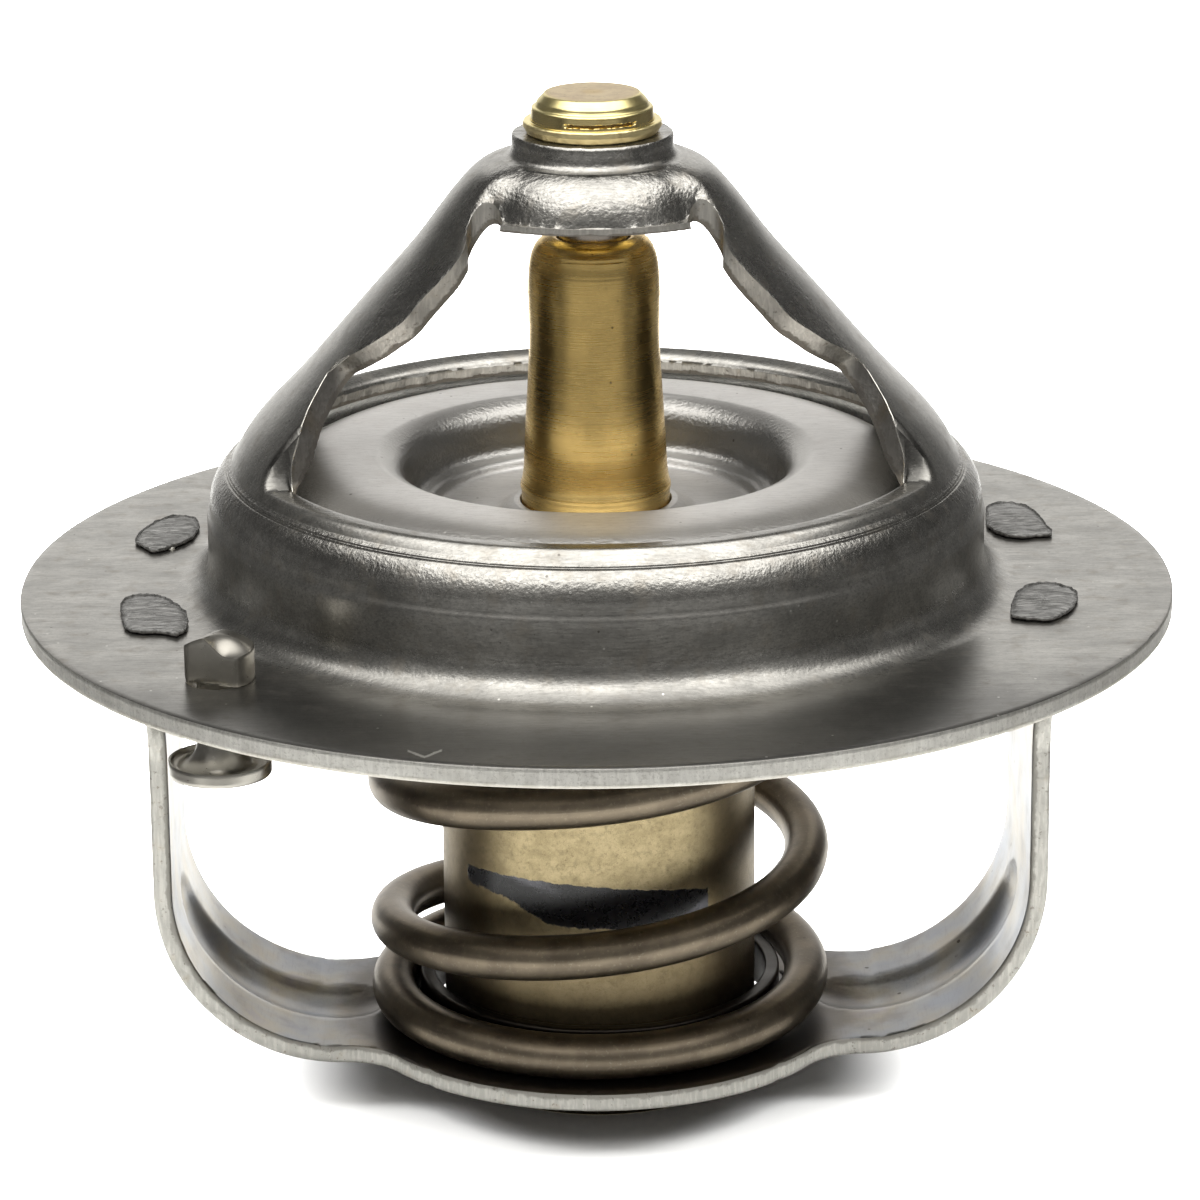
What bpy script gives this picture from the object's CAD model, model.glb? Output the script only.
"""Engine thermostat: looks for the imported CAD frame.

Geometry is worked out in millimetres and written in metres. Heights named z_ or
given in profiles are above the flange's top face; F lifts them into the frame.
"""

import math

import bmesh
import bpy
import numpy as np
from mathutils import Matrix, Vector, noise


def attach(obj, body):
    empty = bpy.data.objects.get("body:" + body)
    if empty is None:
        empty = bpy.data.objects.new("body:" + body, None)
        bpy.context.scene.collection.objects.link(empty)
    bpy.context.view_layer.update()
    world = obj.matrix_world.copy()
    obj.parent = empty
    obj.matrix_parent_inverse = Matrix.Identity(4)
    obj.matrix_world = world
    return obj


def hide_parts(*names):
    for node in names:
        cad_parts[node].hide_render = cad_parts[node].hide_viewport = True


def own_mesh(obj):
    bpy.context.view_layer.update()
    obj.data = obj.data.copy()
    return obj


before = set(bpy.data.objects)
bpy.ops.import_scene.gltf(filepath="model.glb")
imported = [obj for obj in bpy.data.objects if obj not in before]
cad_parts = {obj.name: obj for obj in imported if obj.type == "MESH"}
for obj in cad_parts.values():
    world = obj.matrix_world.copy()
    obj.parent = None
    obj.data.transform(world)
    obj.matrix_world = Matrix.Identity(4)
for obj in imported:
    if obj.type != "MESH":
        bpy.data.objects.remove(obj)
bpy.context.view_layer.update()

MM = 0.001
F = 25.6
scene = bpy.context.scene


# ------------------------------------------------------------------ helpers
def fbm(x, y, z, octaves=3, seed=0.0):
    """Smooth noise in about -1..1, always the same for the same point."""
    total, amp, top = 0.0, 1.0, 0.0
    for i in range(octaves):
        f = 2.0 ** i
        total += amp * noise.noise(Vector((x * f + seed, y * f + 3.7 * seed, z * f + 7.1 * i)))
        top += amp
        amp *= 0.5
    return total / top


def smooth(a, b, x):
    t = np.clip((np.asarray(x, float) - a) / (b - a), 0, 1)
    return t * t * (3 - 2 * t)


def spline(points, per=14):
    """Natural cubic spline through points, chord-length parameter."""
    p = np.array(points, float)
    d = np.r_[0, np.cumsum(np.hypot(*np.diff(p, axis=0).T))]
    n = len(p)
    h = np.diff(d)
    a = np.zeros((n, n))
    b = np.zeros((n, 2))
    a[0, 0] = a[-1, -1] = 1
    for i in range(1, n - 1):
        a[i, i - 1], a[i, i], a[i, i + 1] = h[i - 1], 2 * (h[i - 1] + h[i]), h[i]
        b[i] = 6 * ((p[i + 1] - p[i]) / h[i] - (p[i] - p[i - 1]) / h[i - 1])
    m = np.linalg.solve(a, b)
    out = []
    for i in range(n - 1):
        for k in range(per):
            t = h[i] * k / per
            u = h[i] - t
            out.append((m[i] * u ** 3 + m[i + 1] * t ** 3) / (6 * h[i])
                       + (p[i] / h[i] - m[i] * h[i] / 6) * u + (p[i + 1] / h[i] - m[i + 1] * h[i] / 6) * t)
    out.append(p[-1])
    return np.array(out)


def arc3(a, b, c, n):
    """Circular arc from a through b to c, n+1 points."""
    (x1, y1), (x2, y2), (x3, y3) = a, b, c
    d = 2 * (x1 * (y2 - y3) + x2 * (y3 - y1) + x3 * (y1 - y2))
    ux = ((x1 ** 2 + y1 ** 2) * (y2 - y3) + (x2 ** 2 + y2 ** 2) * (y3 - y1) + (x3 ** 2 + y3 ** 2) * (y1 - y2)) / d
    uy = ((x1 ** 2 + y1 ** 2) * (x3 - x2) + (x2 ** 2 + y2 ** 2) * (x1 - x3) + (x3 ** 2 + y3 ** 2) * (x2 - x1)) / d
    t0, t1, t2 = (math.atan2(y - uy, x - ux) for x, y in (a, b, c))
    span = (t2 - t0) % (2 * math.pi)
    if (t1 - t0) % (2 * math.pi) > span:
        span -= 2 * math.pi
    r = math.hypot(x1 - ux, y1 - uy)
    return [(ux + r * math.cos(t0 + span * i / n), uy + r * math.sin(t0 + span * i / n)) for i in range(n + 1)]


def line(a, b, n):
    return [(a[0] + (b[0] - a[0]) * i / n, a[1] + (b[1] - a[1]) * i / n) for i in range(n + 1)]


def chain(*runs):
    """Joins runs of points, dropping repeats."""
    out = []
    for run in runs:
        for p in run:
            p = (float(p[0]), float(p[1]))
            if not out or math.hypot(p[0] - out[-1][0], p[1] - out[-1][1]) > 1e-5:
                out.append(p)
    return out


def make_obj(name, verts, faces, materials, indices=None, smooth_angle=35.0, attributes=None, uv=None):
    """Mesh object from millimetre points (z above the flange top), shaded smooth below an angle."""
    me = bpy.data.meshes.new(name)
    v = np.array(verts, float).reshape(-1, 3).copy()
    v[:, 2] += F
    me.from_pydata((v * MM).tolist(), [], faces)
    for m in materials:
        me.materials.append(m)
    if indices is not None:
        me.polygons.foreach_set("material_index", np.asarray(indices, np.int32))
    for key, values in (attributes or {}).items():
        at = me.attributes.new(key, "FLOAT", "POINT")
        at.data.foreach_set("value", np.asarray(values, np.float32))
    me.update()
    obj = bpy.data.objects.new(name, me)
    scene.collection.objects.link(obj)
    finish_shading(obj, smooth_angle)
    return obj


def finish_shading(obj, angle=35.0):
    me = obj.data
    bm = bmesh.new()
    bm.from_mesh(me)
    limit = math.radians(angle)
    for f in bm.faces:
        f.smooth = True
    for e in bm.edges:
        if len(e.link_faces) == 2:
            e.smooth = e.calc_face_angle(0.0) < limit
        else:
            e.smooth = False
    bm.to_mesh(me)
    bm.free()
    me.update()


def lathe(name, profile, n, materials, slots=None, smooth_angle=35.0, shift=None, centre=(0.0, 0.0), attrs=None, arc0=0.0):
    """Turned solid. profile is a closed loop of (r, z), shift(r, z, angle, j) may move a point by (dr, dz).
    slots gives a material index for each profile edge; attrs(r, z, angle, j) gives named point values."""
    m = len(profile)
    verts, point, faces, idx = [], {}, [], []
    for i in range(n):
        a = arc0 + 2 * math.pi * i / n
        ca, sa = math.cos(a), math.sin(a)
        for j, (r, z) in enumerate(profile):
            if r < 1e-6:
                key = (0, j)
            else:
                key = (i, j)
            if key in point:
                point[(i, j)] = point[key]
                continue
            dr, dz = shift(r, z, a, j) if shift and r > 1e-6 else (0.0, 0.0)
            point[key] = point[(i, j)] = len(verts)
            verts.append((centre[0] + (r + dr) * ca, centre[1] + (r + dr) * sa, z + dz))
    for i in range(n):
        k = (i + 1) % n
        for j in range(m):
            l = (j + 1) % m
            loop = [point[(i, j)], point[(k, j)], point[(k, l)], point[(i, l)]]
            clean = []
            for q in loop:
                if q not in clean:
                    clean.append(q)
            if len(clean) >= 3:
                faces.append(clean)
                idx.append(slots[j] if slots else 0)
    attributes = {}
    if attrs:
        rows = [None] * len(verts)
        for (i, j), q in point.items():
            if rows[q] is None:
                rows[q] = attrs(profile[j][0], profile[j][1], arc0 + 2 * math.pi * i / n, j)
        for key in rows[0]:
            attributes[key] = [row[key] for row in rows]
    obj = make_obj(name, verts, faces, materials, idx, smooth_angle, attributes)
    fix_normals(obj)
    return obj


def fix_normals(obj):
    bm = bmesh.new()
    bm.from_mesh(obj.data)
    bmesh.ops.recalc_face_normals(bm, faces=bm.faces)
    bm.to_mesh(obj.data)
    bm.free()


def boolean(obj, other, operation="DIFFERENCE", solver="MANIFOLD"):
    mod = obj.modifiers.new("cut", "BOOLEAN")
    mod.operation = operation
    mod.object = other
    mod.solver = solver
    if solver == "EXACT":
        mod.material_mode = "TRANSFER"
    bpy.context.view_layer.update()
    dg = bpy.context.evaluated_depsgraph_get()
    new = bpy.data.meshes.new_from_object(obj.evaluated_get(dg), preserve_all_data_layers=True, depsgraph=dg)
    obj.modifiers.clear()
    old = obj.data
    obj.data = new
    bpy.data.meshes.remove(old)
    other_data = other.data
    bpy.data.objects.remove(other)
    bpy.data.meshes.remove(other_data)
    return obj


def join(name, objs):
    """Joins objects (all at the origin) into one mesh."""
    bpy.ops.object.select_all(action="DESELECT")
    for o in objs:
        o.select_set(True)
    bpy.context.view_layer.objects.active = objs[0]
    bpy.ops.object.join()
    objs[0].name = name
    objs[0].data.name = name
    return objs[0]


# ------------------------------------------------------------------ materials
class Nodes:
    """Short hand for building a node tree."""

    def __init__(self, name):
        self.mat = bpy.data.materials.new(name)
        self.mat.use_nodes = True
        self.t = self.mat.node_tree
        self.t.nodes.clear()
        self.out = self.t.nodes.new("ShaderNodeOutputMaterial")
        self.bsdf = self.t.nodes.new("ShaderNodeBsdfPrincipled")
        self.t.links.new(self.bsdf.outputs[0], self.out.inputs[0])
        self.mm = None

    def put(self, socket, value):
        if isinstance(value, bpy.types.NodeSocket):
            self.t.links.new(value, socket)
        elif value is not None:
            if hasattr(socket, "default_value"):
                if isinstance(value, (tuple, list)) and len(value) == 3 and socket.type == "RGBA":
                    value = (*value, 1.0)
                socket.default_value = value

    def set(self, **kw):
        for key, value in kw.items():
            self.put(self.bsdf.inputs[key.replace("_", " ")], value)

    def coords(self):
        """Object coordinates in millimetres, with z above the flange's top."""
        if self.mm is None:
            tc = self.t.nodes.new("ShaderNodeTexCoord")
            mp = self.t.nodes.new("ShaderNodeMapping")
            mp.inputs["Scale"].default_value = (1000, 1000, 1000)
            mp.inputs["Location"].default_value = (0, 0, -F)
            self.t.links.new(tc.outputs["Object"], mp.inputs[0])
            self.mm = mp.outputs[0]
        return self.mm

    def stretch(self, scale, vec=None, loc=(0, 0, 0), rot=(0, 0, 0)):
        mp = self.t.nodes.new("ShaderNodeMapping")
        mp.inputs["Scale"].default_value = scale
        mp.inputs["Location"].default_value = loc
        mp.inputs["Rotation"].default_value = rot
        self.t.links.new(vec or self.coords(), mp.inputs[0])
        return mp.outputs[0]

    def noise(self, scale=1.0, detail=2.0, rough=0.5, vec=None, distort=0.0):
        n = self.t.nodes.new("ShaderNodeTexNoise")
        n.inputs["Scale"].default_value = scale
        n.inputs["Detail"].default_value = detail
        n.inputs["Roughness"].default_value = rough
        n.inputs["Distortion"].default_value = distort
        self.t.links.new(vec or self.coords(), n.inputs["Vector"])
        return n.outputs["Fac"]

    def voronoi(self, scale=1.0, vec=None, feature="F1", rnd=1.0):
        n = self.t.nodes.new("ShaderNodeTexVoronoi")
        n.feature = feature
        n.inputs["Scale"].default_value = scale
        n.inputs["Randomness"].default_value = rnd
        self.t.links.new(vec or self.coords(), n.inputs["Vector"])
        return n.outputs["Distance"]

    def attr(self, name):
        n = self.t.nodes.new("ShaderNodeAttribute")
        n.attribute_name = name
        return n.outputs["Fac"]

    def split(self, vec=None):
        n = self.t.nodes.new("ShaderNodeSeparateXYZ")
        self.t.links.new(vec or self.coords(), n.inputs[0])
        return n.outputs

    def math(self, op, a, b=None, c=None, clamp=False):
        n = self.t.nodes.new("ShaderNodeMath")
        n.operation = op
        n.use_clamp = clamp
        self.put(n.inputs[0], a)
        if b is not None:
            self.put(n.inputs[1], b)
        if c is not None:
            self.put(n.inputs[2], c)
        return n.outputs[0]

    def rng(self, v, a, b, c=0.0, d=1.0, kind="SMOOTHSTEP"):
        n = self.t.nodes.new("ShaderNodeMapRange")
        n.interpolation_type = kind
        self.put(n.inputs["Value"], v)
        self.put(n.inputs["From Min"], a)
        self.put(n.inputs["From Max"], b)
        self.put(n.inputs["To Min"], c)
        self.put(n.inputs["To Max"], d)
        return n.outputs[0]

    def mix(self, fac, a, b, mode="MIX"):
        n = self.t.nodes.new("ShaderNodeMix")
        n.data_type = "RGBA"
        n.blend_type = mode
        self.put(n.inputs[0], fac)
        self.put(n.inputs[6], a)
        self.put(n.inputs[7], b)
        return n.outputs[2]

    def ramp(self, v, stops):
        n = self.t.nodes.new("ShaderNodeValToRGB")
        e = n.color_ramp.elements
        e[0].position, e[0].color = stops[0][0], (*stops[0][1], 1)
        e[1].position, e[1].color = stops[-1][0], (*stops[-1][1], 1)
        for pos, col in stops[1:-1]:
            k = e.new(pos)
            k.color = (*col, 1)
        self.put(n.inputs[0], v)
        return n.outputs[0]

    def bump(self, height, distance, strength=1.0, normal=None):
        n = self.t.nodes.new("ShaderNodeBump")
        n.inputs["Distance"].default_value = distance
        self.put(n.inputs["Strength"], strength)
        self.put(n.inputs["Height"], height)
        if normal is not None:
            self.t.links.new(normal, n.inputs["Normal"])
        return n.outputs[0]

    def radius(self, cx=0.0, cy=0.0):
        x, y, z = self.split()
        dx = self.math("SUBTRACT", x, cx)
        dy = self.math("SUBTRACT", y, cy)
        return self.math("SQRT", self.math("ADD", self.math("MULTIPLY", dx, dx), self.math("MULTIPLY", dy, dy)))

    def around(self, radius, cx=0.0, cy=0.0):
        """Coordinates (arc length at radius, 0, height), for turned marks."""
        x, y, z = self.split()
        ang = self.math("ARCTAN2", self.math("SUBTRACT", y, cy), self.math("SUBTRACT", x, cx))
        n = self.t.nodes.new("ShaderNodeCombineXYZ")
        self.put(n.inputs[0], self.math("MULTIPLY", ang, radius))
        self.put(n.inputs[2], z)
        return n.outputs[0]


def sheet_material(name, base=(0.42, 0.41, 0.385), rough=0.30, streak=1.0):
    """Drawn stainless sheet: rolled grain, stains, specks, and orange peel where 'peel' says."""
    n = Nodes(name)
    peel = n.attr("peel")
    grain = n.noise(1.0, 4, 0.62, n.stretch((0.55, 9.0, 9.0)))
    fine = n.noise(1.0, 3, 0.6, n.stretch((1.6, 26.0, 26.0)))
    blotch = n.noise(0.28, 3, 0.55)
    cloud = n.noise(0.9, 4, 0.6)
    pit = n.noise(4.0, 2.5, 0.55)
    pit2 = n.noise(9.0, 2, 0.5)
    col = n.mix(n.rng(blotch, 0.35, 0.65), tuple(c * 0.86 for c in base), tuple(min(1, c * 1.08) for c in base))
    col = n.mix(n.math("MULTIPLY", n.rng(grain, 0.46, 0.68), 0.55 * streak), col, tuple(c * 0.55 for c in base))
    short = n.noise(1.0, 3, 0.7, n.stretch((2.2, 13.0, 13.0), loc=(3.0, 8.0, 1.0)))
    col = n.mix(n.math("MULTIPLY", n.rng(short, 0.54, 0.70), 0.55 * streak), col, tuple(c * 0.38 for c in base))
    col = n.mix(n.math("MULTIPLY", n.rng(short, 0.44, 0.33), 0.40 * streak), col, tuple(min(1.0, c * 1.5) for c in base))
    col = n.mix(n.math("MULTIPLY", n.rng(cloud, 0.50, 0.72), 0.36), col, (0.30, 0.26, 0.205))
    mottle = n.noise(2.2, 4, 0.65)
    col = n.mix(n.math("MULTIPLY", n.rng(mottle, 0.52, 0.70), 0.30), col, tuple(c * 0.55 for c in base))
    film = n.noise(0.55, 3, 0.72, n.stretch((0.5, 1.6, 1.6), loc=(7.0, 1.0, 5.0)))
    col = n.mix(n.math("MULTIPLY", n.rng(film, 0.50, 0.64), 0.34 * streak), col, tuple(c * 0.50 for c in base))
    col = n.mix(n.math("MULTIPLY", n.rng(film, 0.45, 0.33), 0.30 * streak), col, tuple(min(1.0, c * 1.45) for c in base))
    # shadowed, oily corner at the foot of each arm
    col = n.mix(n.math("MULTIPLY", n.attr("foot"), 0.88), col, tuple(c * 0.14 for c in base))
    tooth = n.noise(6.5, 3, 0.65)
    col = n.mix(n.math("MULTIPLY", n.rng(tooth, 0.52, 0.68), 0.32), col, tuple(c * 0.50 for c in base))
    # handled, darker front of the flange
    sx, sy, sz = n.split()
    ahead = n.math("MULTIPLY", n.rng(n.math("ADD", sy, n.math("MULTIPLY", blotch, 5.0)), -9.0, -19.0), n.rng(sz, 0.9, 0.3))
    ahead = n.math("MULTIPLY", ahead, n.rng(sz, -0.2, -0.05))
    col = n.mix(n.math("MULTIPLY", ahead, 0.72), col, tuple(c * 0.27 for c in base))
    # small dark specks and a few pale ones
    cell = n.voronoi(1.1)
    speck = n.rng(cell, 0.05, 0.09, 1.0, 0.0)
    gate = n.rng(n.noise(0.6, 1), 0.55, 0.62)
    col = n.mix(n.math("MULTIPLY", n.math("MULTIPLY", speck, gate), 0.75), col, (0.10, 0.09, 0.08))
    cell_b = n.voronoi(0.75, n.stretch((1, 1, 1), loc=(13.1, 4.2, 1.7)))
    speck_b = n.rng(cell_b, 0.03, 0.06, 1.0, 0.0)
    col = n.mix(n.math("MULTIPLY", speck_b, 0.6), col, (0.8, 0.79, 0.75))
    # a pale chip near the front of the rim
    px, py = sx, sy
    arm_v = n.math("ADD", n.math("SUBTRACT", py, -26.15), n.math("MULTIPLY", n.math("ABSOLUTE", n.math("SUBTRACT", px, -8.12)), -1.15))
    chip = n.rng(n.math("ADD", n.math("ABSOLUTE", arm_v), n.math("MULTIPLY", n.noise(5.0, 2), 0.25)), 0.34, 0.20)
    chip = n.math("MULTIPLY", chip, n.rng(n.math("ABSOLUTE", n.math("SUBTRACT", px, -8.12)), 0.80, 0.70))
    chip = n.math("MULTIPLY", chip, n.rng(py, -20.0, -22.0))
    col = n.mix(n.math("MULTIPLY", chip, 0.8), col, (0.80, 0.79, 0.76))
    # peel: pits stay dark
    dark_pit = n.math("MULTIPLY", n.rng(pit, 0.38, 0.52, 1.0, 0.0), peel)
    col = n.mix(n.math("MULTIPLY", dark_pit, 0.30), col, tuple(c * 0.45 for c in base))
    rgh = n.math("ADD", rough - 0.06, n.math("MULTIPLY", grain, 0.12))
    rgh = n.math("ADD", rgh, n.math("MULTIPLY", n.rng(cloud, 0.5, 0.8), 0.10))
    rgh = n.math("ADD", rgh, n.math("MULTIPLY", peel, -0.05))
    b1 = n.bump(fine, 1.6e-6 * streak)
    b2 = n.bump(grain, 2.4e-6 * streak, normal=b1)
    height = n.math("ADD", n.math("MULTIPLY", pit, 1.0), n.math("MULTIPLY", pit2, 0.35))
    b3 = n.bump(n.math("MULTIPLY", height, peel), 30e-6, normal=b2)
    n.set(Base_Color=col, Metallic=1.0, Roughness=rgh, Normal=b3)
    return n.mat


def sheared_material(name, base=(0.60, 0.58, 0.535), dark=(0.27, 0.245, 0.21)):
    """Pierced or sheared edge: burnished band, then a torn band ('shear' runs 0 at the die side to 1)."""
    n = Nodes(name)
    t = n.attr("shear")
    lines = n.noise(1.0, 3, 0.6, n.stretch((7.0, 7.0, 0.9)))
    blot = n.noise(1.6, 3, 0.6)
    edge = n.math("ADD", t, n.math("MULTIPLY", n.math("SUBTRACT", n.noise(1.3, 4, 0.65), 0.5), 0.75))
    torn = n.rng(edge, 0.66, 0.80)
    col = n.mix(n.rng(lines, 0.4, 0.7), tuple(c * 0.88 for c in base), tuple(min(1, c * 1.1) for c in base))
    col = n.mix(n.math("MULTIPLY", n.rng(blot, 0.55, 0.75), 0.35), col, (0.45, 0.39, 0.30))
    col = n.mix(n.math("MULTIPLY", torn, 0.85), col, dark)
    nick = n.rng(n.noise(3.2, 3, 0.7), 0.60, 0.70)
    col = n.mix(n.math("MULTIPLY", nick, 0.6), col, (0.16, 0.14, 0.12))
    # the lower half of each window's side is burnished darker
    rad = n.radius()
    foot = n.math("MULTIPLY", n.rng(rad, 12.3, 13.1), n.rng(rad, 18.2, 17.6))
    foot = n.math("MULTIPLY", foot, n.rng(n.split()[2], 6.55, 6.9))
    col = n.mix(n.math("MULTIPLY", foot, 0.78), col, (0.10, 0.095, 0.09))
    rgh = n.math("ADD", 0.42, n.math("MULTIPLY", torn, 0.18))
    b1 = n.bump(lines, 14e-6)
    b2 = n.bump(n.noise(5.0, 3, 0.6), 18e-6, normal=b1)
    n.set(Base_Color=col, Metallic=1.0, Roughness=rgh, Normal=b2)
    return n.mat


def rim_material(name):
    """Flange rim: sheared band with upright drag lines, pale burrs and darker smears."""
    n = Nodes(name)
    up = n.noise(1.0, 3, 0.6, n.stretch((5.5, 5.5, 0.55)))
    fine = n.noise(1.0, 3, 0.6, n.stretch((16.0, 16.0, 1.5)))
    band = n.split()[2]
    low = n.rng(n.math("ADD", band, n.math("MULTIPLY", n.noise(0.8, 3), 0.5)), -0.62, -0.45, 1.0, 0.0)
    col = n.mix(n.rng(up, 0.35, 0.7), (0.60, 0.59, 0.555), (0.70, 0.69, 0.65))
    grit = n.noise(6.0, 3, 0.7)
    col = n.mix(n.math("MULTIPLY", n.rng(grit, 0.50, 0.66), 0.55), col, (0.40, 0.39, 0.36))
    col = n.mix(n.math("MULTIPLY", n.rng(n.noise(0.5, 3), 0.5, 0.7), 0.35), col, (0.46, 0.445, 0.40))
    col = n.mix(n.math("MULTIPLY", low, 0.45), col, (0.34, 0.315, 0.26))
    rgh = n.math("ADD", 0.36, n.math("MULTIPLY", up, 0.2))
    b = n.bump(up, 2.5e-6)
    b = n.bump(grit, 9e-6, normal=b)
    b = n.bump(fine, 1.5e-6, normal=b)
    n.set(Base_Color=col, Metallic=1.0, Roughness=rgh, Normal=b)
    return n.mat


def valve_material(name):
    """Pressed valve plate: pale matte land with rolled grain, orange peel on the bends."""
    n = Nodes(name)
    peel = n.attr("peel")
    grain = n.noise(1.0, 4, 0.6, n.stretch((0.8, 10.0, 10.0)))
    matte = n.noise(9.0, 3, 0.6)
    blot = n.noise(0.45, 3, 0.55)
    col = n.mix(n.rng(grain, 0.35, 0.7), (0.80, 0.785, 0.765), (0.70, 0.685, 0.665))
    col = n.mix(n.math("MULTIPLY", n.rng(blot, 0.45, 0.7), 0.3), col, (0.62, 0.59, 0.565))
    col = n.mix(peel, col, (0.45, 0.44, 0.42))
    cell = n.voronoi(0.9)
    speck = n.math("MULTIPLY", n.rng(cell, 0.05, 0.08, 1.0, 0.0), n.rng(n.noise(0.7, 1), 0.5, 0.6))
    col = n.mix(n.math("MULTIPLY", speck, 0.7), col, (0.14, 0.12, 0.10))
    fleck = n.noise(1.0, 3, 0.7, n.stretch((3.0, 9.0, 9.0), loc=(2.0, 5.0, 0.0)))
    col = n.mix(n.math("MULTIPLY", n.rng(fleck, 0.54, 0.68), 0.35), col, (0.47, 0.455, 0.43))
    rgh = n.math("SUBTRACT", n.math("ADD", 0.38, n.math("MULTIPLY", grain, 0.10)), n.math("MULTIPLY", peel, 0.12))
    pit = n.noise(4.6, 3, 0.6)
    b = n.bump(matte, 7.0e-6)
    b = n.bump(grain, 5.0e-6, normal=b)
    b = n.bump(n.math("MULTIPLY", pit, n.math("ADD", 0.12, n.math("MULTIPLY", peel, 0.88))), 30e-6, normal=b)
    n.set(Base_Color=col, Metallic=1.0, Roughness=rgh, Normal=b)
    return n.mat


def brass_turned(name, base, rough, line_scale, stain, speck=0.6, bump=3e-6, streak=0.35):
    """Turned brass: rings round the axis, tarnish and specks."""
    n = Nodes(name)
    around = n.around(3.2)
    rings = n.noise(1.0, 3, 0.65, n.stretch((0.22, 1.0, line_scale), around))
    fine = n.noise(1.0, 2, 0.6, n.stretch((0.5, 1.0, line_scale * 3.1), around))
    blot = n.noise(0.55, 3, 0.6)
    col = n.mix(n.rng(blot, 0.35, 0.7), base, tuple(c * 0.82 for c in base))
    col = n.mix(n.math("MULTIPLY", n.rng(rings, 0.48, 0.75), streak), col, stain)
    cell = n.voronoi(1.5)
    sp = n.math("MULTIPLY", n.rng(cell, 0.06, 0.12, 1.0, 0.0), n.rng(n.noise(0.9, 2), 0.5, 0.62))
    col = n.mix(n.math("MULTIPLY", sp, speck), col, (0.13, 0.08, 0.03))
    rgh = n.math("ADD", rough, n.math("MULTIPLY", rings, 0.14))
    b = n.bump(fine, bump)
    b = n.bump(rings, bump * 1.8, normal=b)
    n.set(Base_Color=col, Metallic=1.0, Roughness=rgh, Normal=b)
    return n.mat


def brass_face_material(name):
    """Dull worn top of the plug."""
    n = Nodes(name)
    r = n.radius()
    rings = n.math("SINE", n.math("MULTIPLY", r, 46.0))
    blot = n.noise(1.6, 3, 0.6)
    col = n.mix(n.rng(blot, 0.35, 0.7), (0.74, 0.62, 0.42), (0.64, 0.52, 0.36))
    centre = n.rng(r, 0.25, 0.75, 1.0, 0.0)
    col = n.mix(n.math("MULTIPLY", centre, 0.5), col, (0.66, 0.49, 0.22))
    edge = n.rng(r, 1.9, 2.25)
    col = n.mix(n.math("MULTIPLY", edge, 0.5), col, (0.78, 0.66, 0.36))
    nick = n.rng(n.noise(2.4, 3, 0.7), 0.62, 0.72)
    col = n.mix(n.math("MULTIPLY", nick, 0.5), col, (0.34, 0.25, 0.12))
    b = n.bump(rings, 1.2e-6)
    b = n.bump(n.noise(6.0, 3, 0.6), 6e-6, normal=b)
    n.set(Base_Color=col, Metallic=1.0, Roughness=n.math("ADD", 0.44, n.math("MULTIPLY", blot, 0.12)), Normal=b)
    return n.mat


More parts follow.
